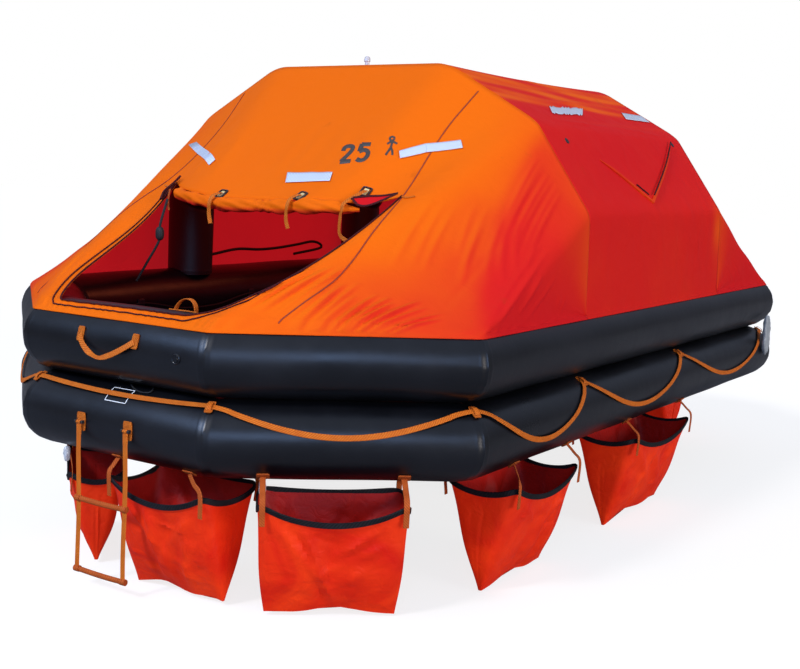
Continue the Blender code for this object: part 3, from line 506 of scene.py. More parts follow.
def inflated_tube(path, normal, radius, closed, sides=64, pucker=1.0, seed=0):
    """A tube of straight sections glued at mitres. Its rings lie between the mitre rings, close
    together near a seam. Each seam pinches it by a narrow bell, and ripples of the cloth run out
    from it as cosines of the turn, which fade by e in 55 mm; a 60 mm tape stands 0.5 mm proud."""
    path, normal = np.array(path, float), np.array(normal, float)
    mitre = mitred(path, normal, closed)
    draw = np.random.default_rng(seed)
    turn = full_turn(sides)
    near = np.array([0.0, 0.007, 0.014, 0.022, 0.029, 0.031, 0.040, 0.052, 0.068, 0.090])
    grids = []
    runs = len(path) if closed else len(path) - 1
    phases = draw.uniform(0, 2 * math.pi, (len(path), 3))
    for k in range(runs):
        after = (k + 1) % len(path)
        length = np.linalg.norm(path[after] - path[k])
        middle = np.linspace(0.12, length - 0.12, max(2, int(length / 0.045)))
        along = np.concatenate([near, middle, (length - near)[::-1]])
        if closed or k < runs - 1:
            along = along[:-1]
        t = (along / length)[:, None, None]
        centre = path[k] * (1 - t) + path[after] * t
        out = mitre[k] * (1 - t) + mitre[after] * t
        ring = np.cos(turn)[None, :, None] * out + np.sin(turn)[None, :, None] * normal
        off = np.minimum(along, length - along)[:, None]
        phase = np.where((along < length / 2)[:, None, None], phases[k], phases[after])
        ripple = 0.6 * np.cos(17 * turn + phase[..., 0]) + 0.4 * np.cos(29 * turn + phase[..., 1])
        ripple = ripple * (0.6 + 0.4 * np.cos(turn + phase[..., 2]))
        pinch = SEAM_PINCH * np.exp(-((off / PINCH_WIDTH) ** 2))
        bulge = pucker * (-pinch - SEAM_RIPPLE * ripple * np.exp(-off / RIPPLE_FADE))
        bulge = bulge + SEAM_TAPE_PROUD * (1 - smooth(*SEAM_TAPE_EDGE, off))
        bulge = bulge + SWELL * np.sin(9.0 * along[:, None] + 2 * turn + k)
        grids.append(centre + ring * (radius + bulge)[..., None])
    grid = np.concatenate(grids)
    steps = np.linalg.norm(np.diff(grid.mean(axis=1), axis=0), axis=1)
    along = np.concatenate([[0.0], np.cumsum(steps), [0.0]])
    along[-1] = along[-2] + steps[-1]
    uv = np.stack(
        np.meshgrid(along, np.arange(sides + 1) * 2 * math.pi * radius / sides, indexing="ij"), axis=-1
    )
    return grid, uv


def at_height(points, z):
    return np.hstack([points, np.full((len(points), 1), z)])


def make_buoyancy_tubes():
    for name, z, seed in (("lower_tube", LOWER_Z, 3), ("upper_tube", UPPER_Z, 8)):
        grid, uv = inflated_tube(at_height(octagon(), z), (0, 0, 1), TUBE_R, True, seed=seed)
        shape = grid_shape(grid, uv, around=True, loop=True)
        add_piece("buoyancy_" + name, [shape], [RUBBER], [name])


def make_arches():
    """Each arch follows the canopy's line, inset; its feet end on the upper tube's crown: the
    last ring's points are lifted to the tube's surface."""
    line = np.stack([ARCH_Y, ARCH_Z], axis=1)[::-1]
    line = np.vstack([line[:-1], line[::-1][1:] * (-1, 1)])
    ahead = unit(np.diff(line, axis=0))
    inward = np.stack([ahead[:, 1], -ahead[:, 0]], axis=1)
    inward *= np.sign(((np.array([0.0, 1.0]) - line[:-1]) * inward).sum(axis=1))[:, None]
    before, after = np.vstack([inward[:1], inward]), np.vstack([inward, inward[-1:]])
    centre = line + ARCH_INSET * (before + after) / (1 + (before * after).sum(axis=1))[:, None]
    centre[[0, -1], 1] = UPPER_Z + 0.8 * TUBE_R
    for name, x in (("arch_front", -ARCH_X), ("arch_rear", ARCH_X)):
        path = np.hstack([np.full((len(centre), 1), x), centre])
        grid, uv = inflated_tube(path, (1, 0, 0), ARCH_R, False, sides=40, pucker=0.7, seed=5)
        beside = np.clip(np.abs(np.abs(grid[..., 1]) - HALF_WIDTH) / TUBE_R, 0, 1)
        saddle = UPPER_Z + (TUBE_R + 0.0015) * np.sqrt(1 - beside**2)
        low = grid[..., 2] < saddle
        grid[..., 2] = np.where(low, saddle, grid[..., 2])
        add_piece("canopy_" + name, [grid_shape(grid, uv, around=True)], [ARCH_RUBBER], [name])


def make_floor():
    """An inflated floor: two sheets that buttons pull together every 160 mm, so that each face is
    a sum of cosines across and along. Its rim lies in the lower tube."""
    flank = math.sqrt(TUBE_R**2 - (LOWER_Z - FLOOR_HIGH) ** 2)
    rim = octagon(-flank - 0.0008)
    around = 16
    t = np.arange(around)[:, None] / around
    outline = np.concatenate([a * (1 - t) + b * t for a, b in zip(rim, np.roll(rim, -1, axis=0))])
    share = np.concatenate([[0.01], np.linspace(0.04, 0.985, 44), [1.0]])
    flat = share[:, None, None] * outline[None]
    wave = 0.5 + 0.25 * np.cos(2 * math.pi * flat / BUTTON_PITCH).sum(axis=-1)
    edge = smooth(1.0, 0.93, share)[:, None]
    high = FLOOR_HIGH - DIMPLE_TOP * (1 - wave) * edge - 0.004
    low = FLOOR_LOW + DIMPLE_UNDER * (1 - wave) * edge + 0.001
    grid = np.concatenate([np.dstack([flat, high]), np.dstack([flat, low])[::-1]])
    add_piece("inflated_floor", [grid_shape(grid, around=True)], [FLOOR_RUBBER], ["floor"])


# Canopy

PRINT_LIFT, TAPE_LIFT, SHOULDER_LIFT, ZIP_LIFT = 0.0012, 0.0062, 0.0055, 0.0030
ZIP_GAP = 0.030
ROLL_GIRTH = 0.033


def bent(u, values, soft, odd=False):
    """A line through the values at the knots, mirrored at 0, or turned about it where odd. It
    goes on straight past the last knot, and its bends are rounded by its mean over u +- soft."""
    slope = (values[-1] - values[-2]) / (KNOTS[-1] - KNOTS[-2])
    total = 0.0
    steps = np.linspace(-1, 1, 13)
    for step in steps:
        at = u + soft * step
        line = np.interp(np.abs(at), KNOTS, values) + slope * np.maximum(np.abs(at) - 1, 0)
        total = total + (line * np.sign(at) if odd else line)
    return total / len(steps)


def shares(u, knots, values, soft=0.03):
    """Shares given at knots of |u|, with straight lines between and rounded bends."""
    steps = np.linspace(-1, 1, 9)
    return sum(np.interp(np.abs(u + soft * step), knots, values) for step in steps) / len(steps)


def skirt(past):
    """The apron's turn, 0 to 1, beyond past = 1, and the skirt's place about the upper tube: how
    far it lies out from the centre line, and its height."""
    turn = np.clip((past - 1) / APRON, 0, 1)
    reach = SKIRT_REACH + turn * APRON_REACH
    angle = SKIRT_ANGLE - turn * APRON_ANGLE
    return turn, reach * np.cos(angle), UPPER_Z + reach * np.sin(angle)


def end_panel(u, v):
    """The front end panel. Straight lines lead from the arch's line, v = 0, to the skirt on the
    end and diagonal tubes, v = 1, and past it an apron turns in to the tube. The cloth hangs
    below them as a parabola between arch and sill, most at the entrance."""
    arch_soft = 0.022 + 0.03 * np.clip(v, 0, 1)
    skirt_soft = 0.010 + 0.045 * (1 - np.clip(v, 0, 1))
    arch_y, arch_z = bent(u, ARCH_Y, arch_soft, odd=True), bent(u, ARCH_Z, arch_soft)
    _, offset, height = skirt(v)
    base, mitre = octagon(), octagon(1.0) - octagon()
    foot_x = (base[0, 0],) * 3 + (base[7, 0], -RIDGE_X)
    foot_y = (0.0, 0.53 * END_HALF, END_HALF, HALF_WIDTH, HALF_WIDTH)
    move_x = (mitre[0, 0],) * 3 + (mitre[7, 0], 0.0)
    move_y = (0.0, 0.53 * mitre[0, 1], mitre[0, 1], 1.0, 1.0)
    skirt_x = bent(u, foot_x, skirt_soft) + offset * bent(u, move_x, skirt_soft)
    skirt_y = bent(u, foot_y, skirt_soft, odd=True) + offset * bent(u, move_y, skirt_soft, odd=True)
    v = np.clip(v, 0, 1)
    knots = (0.0, 0.18, 0.284, 0.35, 0.70, 1.0)
    down = np.minimum(v / DOOR_SILL, 1.0)
    near_sill = np.minimum(down, (1 - v) / (1 - DOOR_SILL))
    x, y, z = (
        top * (1 - v) + low * v for top, low in ((-RIDGE_X, skirt_x), (arch_y, skirt_y), (arch_z, height))
    )
    z = z - END_SAG * 4 * down * (1 - down) * shares(u, knots, (1.05, 1.0, 0.95, 0.15, 0.0, 0.0))
    z = z + near_sill * shares(u, knots, (0.0, 0.0, 0.006, 0.022, 0.0, 0.0))
    return np.stack(np.broadcast_arrays(x, y, z), axis=-1)


def roof_panel(s, w):
    """The canopy between the arches: the arch's line carried along X, s = -1 to 1. Between the
    arches the roof hangs as a parabola. Past w = 1 an apron turns in to the tube."""
    turn, offset, height = skirt(np.abs(w))
    flat = np.clip(w, -1, 1)
    y = bent(flat, ARCH_Y, 0.022, odd=True)
    z = bent(flat, ARCH_Z, 0.022)
    y = np.where(turn > 0, np.sign(w) * (HALF_WIDTH + offset), y)
    z = np.where(turn > 0, height, z)
    hang = ROOF_SAG * (1 - s**2) * smooth(1.45, 1.62, z)
    belly = 0.012 * (1 - s**2) * smooth(1.0, 0.55, np.abs(w)) * smooth(0.40, 0.6, np.abs(w))
    return np.stack(np.broadcast_arrays(s * RIDGE_X, y - np.sign(w) * belly, z - hang), axis=-1)


def fold(a, b, start, end, width, height):
    """The height of one fold: a bell across the line from start to end, which rises and falls
    along it as a half sine."""
    start, end = np.array(start), np.array(end)
    run = end - start
    along = ((a - start[0]) * run[0] + (b - start[1]) * run[1]) / (run @ run)
    across = ((a - start[0]) * run[1] - (b - start[1]) * run[0]) / np.linalg.norm(run)
    lift = np.sin(math.pi * np.clip(along, 0, 1)) ** 0.8
    return height * lift * np.exp(-((across / width) ** 2))


def end_creases(u, v, seed):
    """The end panel's wrinkles, on both sides but with their own small shifts: short folds that
    stand up from the sill's corner and from the skirt, and fan out over the middle of each
    diagonal tube, long soft ones that follow the pull to the shoulder, and puckers along the
    skirt. They are deepest to port, where the cloth is slack."""
    draw = np.random.default_rng(seed)
    height = 0.0 * u * v
    for side, slack in ((-1, 1.0), (1, 0.45)):
        a = side * u
        for k in range(19):
            foot = 0.352 + 0.0125 * k + draw.uniform(-0.004, 0.004)
            low = np.interp(foot, (0.35, 0.44, 0.46), (0.93, 0.975, 1.02))
            reach = np.interp(foot, (0.35, 0.50, 0.585), (0.21, 0.24, 0.09)) * draw.uniform(0.7, 1.15)
            lean = np.interp(foot, (0.35, 0.47, 0.51, 0.535, 0.58), (0.05, -0.12, 0.0, 0.12, 0.50))
            end = (foot + lean * reach, low - reach)
            deep = slack * draw.uniform(0.010, 0.019)
            height += fold(a, v, (foot, low), end, draw.uniform(0.0040, 0.0060), deep)
        for k in range(9):
            foot = 0.475 + 0.026 * k + draw.uniform(-0.006, 0.006)
            top = draw.uniform(0.30, 0.42)
            start = (foot, top + draw.uniform(0.24, 0.36))
            height += fold(a, v, start, (foot - 0.095, top), 0.008, slack * draw.uniform(0.004, 0.009))
        for k in range(7):
            foot = 0.545 + 0.022 * k + draw.uniform(-0.005, 0.005)
            start = (foot, 0.34 + 0.035 * k)
            height += fold(a, v, start, (foot - 0.10, 0.06), 0.009, slack * draw.uniform(0.005, 0.011))
        for k in range(9):
            foot = 0.60 + 0.036 * k + draw.uniform(-0.008, 0.008)
            start = (foot + 0.02, draw.uniform(0.72, 0.98))
            stop = (foot - 0.02, draw.uniform(0.30, 0.55))
            height += fold(a, v, start, stop, 0.008, slack * draw.uniform(-0.004, 0.009))
    for _ in range(12):
        at = draw.uniform(-0.27, 0.27)
        height += fold(u, v, (at, 0.42), (at + draw.uniform(-0.02, 0.02), 0.20), 0.010, 0.004)
    pucker = 0.0018 * np.sin(170 * u + 3 * np.sin(31 * u + seed)) * smooth(0.93, 1.0, v) * (v <= 1.0)
    drift = 0.004 * np.sin(7 * u + 5 * v + seed) * np.sin(9 * v - 4 * u)
    return (height + drift) * smooth(0.0, 0.05, v) * smooth(1.0 + APRON, 1.0, v) + pucker


def roof_creases(s, w, seed):
    """The roof's wrinkles: long fine folds along the raft over its top and shoulders, slack
    diagonal ones on the walls, and puckers along the skirt."""
    draw = np.random.default_rng(seed)
    height = 0.0 * s * w
    for _ in range(34):
        at = draw.uniform(-0.36, 0.36)
        middle, half = draw.uniform(-0.6, 0.6), draw.uniform(0.25, 0.7)
        tilt = draw.uniform(-0.02, 0.02)
        start, end = (middle - half, at - tilt), (middle + half, at + tilt)
        height += fold(s, w, start, end, 0.0055, draw.uniform(-0.006, 0.008))
    for side in (-1, 1):
        for _ in range(10):
            foot = draw.uniform(-0.9, 0.9)
            top = foot + draw.uniform(-0.25, 0.25)
            height += fold(s, side * w, (foot, 0.97), (top, draw.uniform(0.45, 0.75)), 0.03, 0.003)
    far = np.abs(w)
    pucker = 0.0022 * np.sin(120 * s + 3 * np.sin(17 * s + seed)) * smooth(0.96, 1.0, far) * (far <= 1.0)
    edge = smooth(1.0, 0.93, np.abs(s)) * smooth(1.0 + APRON, 1.0, far)
    return height * edge + pucker


def normals_of(surface, a, b, centre, step=2e-3):
    """Outward unit normals, from the surface's two slopes, turned away from the centre."""
    along = surface(a + step, b) - surface(a - step, b)
    down = surface(a, b + step) - surface(a, b - step)
    normal = unit(np.cross(along, down))
    facing = ((surface(a, b) - centre) * normal).sum(axis=-1, keepdims=True)
    return normal * np.sign(facing)


FRONT_CENTRE = np.array((-0.6, 0.0, 0.3))
ROOF_CENTRE = np.array((0.0, 0.0, 0.3))


def front_cloth(u, v, lift=0.0, seed=4):
    """The end panel with its wrinkles, and points lifted off it. Also its normals before them."""
    normal = normals_of(end_panel, u, v, FRONT_CENTRE)
    height = end_creases(u, v, seed) + lift
    return end_panel(u, v) + normal * height[..., None], normal


def roof_cloth(s, w, lift=0.0, seed=11):
    normal = normals_of(roof_panel, s, w, ROOF_CENTRE)
    height = roof_creases(s, w, seed) + lift
    return roof_panel(s, w) + normal * height[..., None], normal


ENDS = (("front", 1, 4), ("rear", -1, 23))  # each end's name, its turn about Z and its creases' seed


def end_painted_light(u, v):
    """Painted light and shade on the end cloth, as its share of lit orange: 1 over the end, less
    down the diagonals and least beside the arches, with a soft line from each arch's shoulder to
    the tube's corner beside it. A fold's side that faces the arch is painted as shade, so the
    sheet adds its slope to this."""
    past = np.abs(u) - np.interp(v, (0.0, 0.18, 0.48, 1.0), (0.39, 0.466, 0.588, 0.72))
    least = np.interp(v, (0.0, 0.3, 0.7, 1.0), (0.52, 0.32, 0.14, 0.10))
    diagonal = 1 - 0.52 * smooth(0.22, 0.52, np.abs(u)) * smooth(0.0, 0.9, v)
    return least + (1 - least) * (
        0.30 * smooth(0.035, -0.035, past) + 0.70 * smooth(0.10, -0.24, past) * diagonal
    )


def door_edge(v, side, wider=0.0):
    """How far the entrance's edge lies from the middle at v, in u: to port, side 0, the cloth is
    pulled out in a bow, a half sine, and to starboard, side 1, it spreads towards the sill. The
    lower corners are quarter ellipses. wider moves the edge outwards, in metres."""
    per_u = 1.0 / (PANEL_HALF - PANEL_NARROWING * np.clip(v, 0, 1))
    low = DOOR_SILL + np.max(wider) / PANEL_HEIGHT
    t = np.clip((v - (low - DOOR_ROUND_V)) / DOOR_ROUND_V, 0, 1)
    if side == 0:
        bow = 0.042 * np.sin(math.pi * np.clip((v - DOOR_HEAD) / 0.75, 0, 1))
    else:
        bow = 0.038 * smooth(0.48, 0.94, v)
    return DOOR_CORNERS[side] + bow + wider * per_u - DOOR_ROUND_U[side] * (1 - np.sqrt(1 - t**2))


def dipped(u, v):
    """Rows move down the panel, most at the entrance's head, so that its edge hangs between its
    corners: the shift is 1 - (u / corner)^4 across, and falls to nothing at the arch and sill."""
    shift = np.interp(v, (0, DOOR_HEAD, DOOR_SILL, 1), (0, HEAD_DIP, 0, 0))
    corner = np.where(u < 0, *DOOR_CORNERS)
    return v + shift * (1 - np.minimum(np.abs(u / corner), 1.0) ** 4)


def make_end_cloths():
    """The two end panels as sheets, less the entrance. Columns within the entrance's edges share
    out its width, and the others share out what is left."""
    upper = np.linspace(0, DOOR_HEAD, 34)
    door = DOOR_HEAD + (DOOR_SILL - DOOR_HEAD) * np.sin(np.linspace(0, math.pi / 2, 60)) ** 0.9
    lower = np.concatenate([np.linspace(DOOR_SILL, 1.0, 6)[1:], 1 + APRON * np.linspace(0, 1, 5)[1:]])
    rows = np.concatenate([upper, door[1:], lower])
    side_columns, door_columns = 190, 60
    port, starboard = (door_edge(np.minimum(rows, DOOR_SILL), side)[:, None] for side in (0, 1))
    beside = np.linspace(0, 1, side_columns)[None]
    inner = np.linspace(0, 1, door_columns)[None, 1:-1]
    across = -port + (port + starboard) * inner
    u = np.hstack([-(port + (1 - port) * beside[:, ::-1]), across, starboard + (1 - starboard) * beside])
    v = dipped(u, rows[:, None])
    in_rows = (rows[:-1] > DOOR_HEAD - 1e-6) & (rows[:-1] < DOOR_SILL - 1e-6)
    columns = np.arange(u.shape[1] - 1)
    in_columns = (columns >= side_columns - 1) & (columns < side_columns + door_columns - 2)
    keep = ~(in_rows[:, None] & in_columns[None])
    for end, turn, seed in ENDS:
        points, _ = front_cloth(u, v, seed=seed)
        uv = np.stack([u * 4.0, v * 2.3], axis=-1)
        shape = grid_shape(points, uv, keep=keep, inside=FRONT_CENTRE)
        used = np.zeros(u.shape, bool)
        for r, c in ((0, 0), (1, 0), (0, 1), (1, 1)):
            used[r : r + keep.shape[0], c : c + keep.shape[1]] |= keep
        # Painted shade: a fold's side that faces the arch is made redder by its slope.
        painted_shade_slope = np.gradient(end_creases(u, v, seed), axis=1) / np.gradient(np.abs(u), axis=1)
        painted_light = (end_painted_light(u, v) + np.clip(0.09 * painted_shade_slope, -0.20, 0.09))[used]
        cloth = add_piece(
            "end_cloth_" + end,
            [shape],
            [CANOPY, LINING],
            ["canopy_" + end],
            wall=CLOTH,
            painted_light=painted_light,
            turn=turn,
        )


def roof_painted_light(s, w):
    """Painted light and shade on the roof cloth, as its share of lit orange: lit streaks along its
    top as sines across it, a painted highlight on each shoulder's crease, a little more light down
    the walls, and a lit wedge beside each arch's far foot; the rest is painted red as in shade."""
    # Painted light: lit streaks and crease highlights on a roof that is painted red as in shade.
    lit_streaks = 0.16 * np.sin(95 * w + 4 * np.sin(2.2 * s)) + 0.10 * np.sin(230 * w + 5 * s)
    top = smooth(0.315, 0.26, np.abs(w)) * (0.42 + lit_streaks)
    shoulder = 0.20 * np.exp(-(((np.abs(w) - 0.325) / 0.008) ** 2)) * smooth(-1.1, 0.2, -np.sign(w) * s)
    wedge = 0.34 * smooth(0.80, 0.97, -np.sign(w) * s) * np.exp(-(((np.abs(w) - 0.76) / 0.10) ** 2))
    return 0.16 + top + shoulder + wedge + 0.16 * smooth(0.45, 0.90, np.abs(w))


def make_roof_cloth():
    rows = np.linspace(-1, 1, 90)
    half = np.concatenate(
        [np.linspace(0, 0.42, 84), np.linspace(0.42, 1.0, 44)[1:], 1 + APRON * np.linspace(0, 1, 5)[1:]]
    )
    across = np.concatenate([-half[:0:-1], half])
    s, w = np.meshgrid(rows, across, indexing="ij")
    points, _ = roof_cloth(s, w)
    uv = np.stack([s, w * 3.0], axis=-1)
    shape = grid_shape(points, uv, inside=ROOF_CENTRE)
    cloth = add_piece(
        "roof_cloth",
        [shape],
        [CANOPY, LINING],
        ["canopy_roof", "canopy_port", "canopy_starboard"],
        wall=CLOTH,
        painted_light=roof_painted_light(s, w),
    )


def cloth_line(points, normal, spacing):
    """A line on the cloth and the cloth's normals along it, read evenly together."""
    both = evenly(np.hstack([points, 0.2 * normal]), spacing)
    return both[:, :3], unit(both[:, 3:])


def ribbon(u, v, width, thick, lift, seed, spacing=0.010):
    return swept(*cloth_line(*front_cloth(u, v, lift, seed), spacing), band(width, thick))


def mark(cloth, corners, share, lift, inside, size=(0.25, 0.05)):
    """A thin mark on a panel. share is a grid of places in a unit square, whose corners, from the
    upper left one round to the lower left, lie at these places of the panel."""
    corners = np.array(corners, float)
    x, y = share[..., :1], share[..., 1:]
    at = (corners[0] * (1 - x) + corners[1] * x) * y + (corners[3] * (1 - x) + corners[2] * x) * (1 - y)
    points, _ = cloth(at[..., 0], at[..., 1], lift)
    return grid_shape(points, share * size, inside=inside)


def unit_grid(columns, rows):
    return np.stack(np.meshgrid(np.linspace(0, 1, columns), np.linspace(0, 1, rows), indexing="ij"), axis=-1)


def strokes(lines, width, wide, closed=()):
    """Grids of a mark's strokes in its unit square. Each stroke is a smooth line of a few points
    given in heights of the mark, which is wide heights across."""
    grids = []
    for number, line in enumerate(lines):
        path = smooth_line(np.array(line, float), 0.04, closed=number in closed)
        if number in closed:
            path = np.vstack([path, path[:1]])
        ahead = unit(np.gradient(path, axis=0))
        side = np.stack([-ahead[:, 1], ahead[:, 0]], axis=1)
        offsets = np.array([-0.5, 0.0, 0.5])[:, None, None] * width
        grids.append((path + offsets * side) / (wide, 1.0))
    return grids


def make_door_roll(end, turn, seed):
    """The door curtain, rolled up under the entrance's head. Its section is a circle with gathers
    that run round it as sines; its girth swells and narrows, and its ends are drawn in."""
    u = np.linspace(0.05 - DOOR_CORNERS[0], DOOR_CORNERS[1] - 0.004, 170)
    head, _ = front_cloth(u, dipped(u, np.full_like(u, DOOR_HEAD)), 0.0, seed)
    centre = head + (-ROLL_OUT, 0.0, -ROLL_DROP)
    share = np.linspace(0, 1, len(u))
    pull = 0.35 * smooth(0.10, 0.0, np.minimum(share, 1 - share))
    for shift, half in ((-6, share < 0.5), (6, share > 0.5)):
        centre = centre + (np.roll(centre, shift, axis=0) - centre) * (pull * half)[:, None]
    ahead = unit(np.gradient(centre, axis=0))
    up = unit(np.array((0.0, 0.0, 1.0)) - ahead[:, 2:] * ahead)
    out = np.cross(up, ahead)
    angle = full_turn(44)
    s = share[:, None] * 1.75
    girth = ROLL_GIRTH * (1 + 0.12 * np.sin(9 * s + seed) + 0.07 * np.sin(23 * s))
    for tie, _ in TIES:
        girth = girth - 0.009 * np.exp(-(((u[:, None] - tie) / 0.012) ** 2))
    gathers = 0.10 * np.sin(3 * angle + 7 * s + 2 * np.sin(5 * s)) + 0.07 * np.sin(5 * angle - 31 * s)
    gathers = gathers + 0.06 * np.sin(2 * angle + 63 * s + 2 * np.sin(17 * s)) * (1 + np.sin(11 * s))
    ends = 0.35 + 0.65 * smooth(0.0, 0.06, np.minimum(share, 1 - share))[:, None]
    r = girth * ends * (1 + gathers * 0.75)
    ring = np.cos(angle)[:, None] * out[:, None] + np.sin(angle)[:, None] * up[:, None]
    grid = centre[:, None] + ring * r[..., None]
    shape = grid_shape(grid, around=True)
    # Painted shade: the roll is painted orange on top, as lit, and red underneath, as in shade.
    painted_light = 0.95 - 0.55 * smooth(0.05, -0.9, np.sin(angle))[None] + 0 * s
    name = "door_roll_" + end
    roll = add_piece("curtain_" + name, [shape], [CANOPY], [name], painted_light=painted_light, turn=turn)


TIES = ((0.088, 0.489), (-0.121, 0.485), (-0.237, 0.420))  # the three ties' places on the end panel


def make_door_ties(end, turn, seed):
    """Three ties hold the roll. Each has a black frame with a pale tongue on the panel, and a
    webbing tail that leads from it over the roll and hangs below."""
    shapes = []
    for number, (u, v) in enumerate(TIES):
        top, normal = front_cloth(np.array([u]), np.array([v]), 0.004, seed)
        top, normal = top[0], normal[0]
        upward = unit(np.array((0.0, 0.0, 1.0)) - normal[2] * normal)
        across = np.cross(upward, normal)
        spin = (0.10, 0.25, 0.35)[number]
        c, s = math.cos(spin), math.sin(spin)
        upward, across = upward * c + across * s, across * c - upward * s
        for side in (-1, 1):
            for axis, other, reach in ((across, upward, 0.022), (upward, across, 0.030)):
                bar = (0.007, 0.062 if reach < 0.025 else 0.046, 0.009)
                shapes.append(soft_block(bar, top + axis * side * reach, (axis, other, normal), 1))
        shapes.append(soft_block((0.024, 0.044, 0.006), top, (across, upward, normal), 2, power=7))
        drift, drop = (0.026, 0.030, 0.040)[number], (0.100, 0.105, 0.150)[number]
        head, _ = front_cloth(np.array([u]), dipped(np.array([u]), DOOR_HEAD), 0.0, seed)
        roll = head[0] + (-ROLL_OUT, 0.4 * drift, -ROLL_DROP)
        path = [top + upward * 0.004 + normal * 0.005, top + normal * 0.016 - upward * 0.018]
        path += [
            roll + (-0.034, 0.0, 0.034),
            roll + (-0.047, 0.2 * drift, 0.0),
            roll + (-0.040, 0.5 * drift, -0.034),
        ]
        path += [
            roll + (-0.034, 0.6 * drift, -drop + 0.035),
            roll + (-0.030, (0.4, 0.3, -0.6)[number] * drift, -drop),
        ]
        line = smooth_line(path, 0.006)
        facing = np.linspace(0, 1, len(line))[:, None]
        facing = unit(normal * (1 - facing) + np.array((-1.0, 0.4 * (number - 1), 0.1)) * facing)
        shapes.append(swept(line, facing, band(0.021, 0.0028)))
    add_piece("door_ties_" + end, shapes, [WEBBING, FITTING, BRASS], turn=turn)


def make_door_zips(end, turn, seed):
    """Two zip tapes run round the entrance, one at its edge and one 30 mm outside it, which lies
    on the first down most of the port side. Loops of tape hang at the head's corners: a bunch to
    starboard, and to port a lens of two arcs round the curtain's red inner face."""
    shapes = []
    for wider, width, thick in ((0.002, 0.008, 0.0055), (ZIP_GAP, 0.0065, 0.0045)):
        low = DOOR_SILL + wider / PANEL_HEIGHT
        turned_v = low - DOOR_ROUND_V * (1 - np.sin(np.linspace(0, math.pi / 2, 60)[1:]))
        v = np.concatenate([np.linspace(DOOR_HEAD, low - DOOR_ROUND_V, 60), turned_v])
        port = door_edge(v, 0, wider * np.maximum(smooth(0.70, 0.90, v), 0.002 / wider))
        starboard = door_edge(v, 1, wider)
        middle = np.linspace(-port[-1], starboard[-1], 60)[1:-1]
        u = np.concatenate([-port, middle, starboard[::-1]])
        v = np.concatenate([v, np.full(58, v[-1]), v[::-1]])
        shapes.append(ribbon(u, v, width, thick, ZIP_LIFT, seed))
    arcs = (
        ((0.262, 0.385), (0.268, 0.410), (0.258, 0.440), (0.264, 0.480)),
        ((0.250, 0.392), (0.262, 0.425), (0.270, 0.450), (0.258, 0.490)),
        ((-0.236, 0.462), (-0.260, 0.436), (-0.285, 0.422), (-0.310, 0.408)),
        ((-0.236, 0.464), (-0.260, 0.474), (-0.284, 0.462), (-0.310, 0.410)),
    )
    for number, arc in enumerate(arcs):
        line = smooth_line(arc, 0.004)
        lift = (0.014, 0.024, 0.030, 0.030)[number]
        thick = (0.009, 0.009, 0.005, 0.005)[number]
        shapes.append(ribbon(line[:, 0], line[:, 1], 0.013, thick, lift, seed, spacing=0.006))
    share, rims = np.linspace(0, 1, 24), []
    for rim in (smooth_line(arc, 0.004) for arc in arcs[2:]):
        along = np.linspace(0, 1, len(rim))
        rims.append(np.stack([np.interp(share, along, rim[:, k]) for k in (0, 1)], axis=1))
    across = np.linspace(0, 1, 6)[None, :, None]
    at = rims[0][:, None] * (1 - across) + rims[1][:, None] * across
    points, _ = front_cloth(at[..., 0], at[..., 1], 0.029, seed)
    face = grid_shape(points, inside=FRONT_CENTRE)
    painted_light = np.zeros(len(face[0]))
    add_piece("door_zips_" + end, shapes, [ZIP], turn=turn)
    add_piece("door_facing_" + end, [face], [CANOPY], wall=0.0012, painted_light=painted_light, turn=turn)


def make_corner_ties(end, turn, seed):
    """A thin orange tie leads sideways from each corner of the head, and a red one hangs from the
    starboard corner."""
    shapes = []
    for side, corner in zip((-1, 1), DOOR_CORNERS):
        u = side * np.linspace(corner + 0.004, corner + 0.034, 12)
        v = DOOR_HEAD + 0.004 + 0.008 * np.sin(np.linspace(0, 3, 12))
        shapes.append(ribbon(u, v, 0.010, 0.004, 0.004, seed))
    top, _ = front_cloth(np.array([0.250]), np.array([0.455]), 0.020, seed)
    hang = ((0.0, 0.0, 0.01), (-0.012, -0.004, -0.02), (-0.010, 0.002, -0.06), (-0.010, -0.004, -0.10))
    line = smooth_line(top[0] + np.array(hang), 0.006)
    shapes.append(swept(line, (-1.0, 0.3, 0.0), band(0.016, 0.003), slot=1))
    add_piece("corner_ties_" + end, shapes, [WEBBING, SHADE_WEBBING], turn=turn)


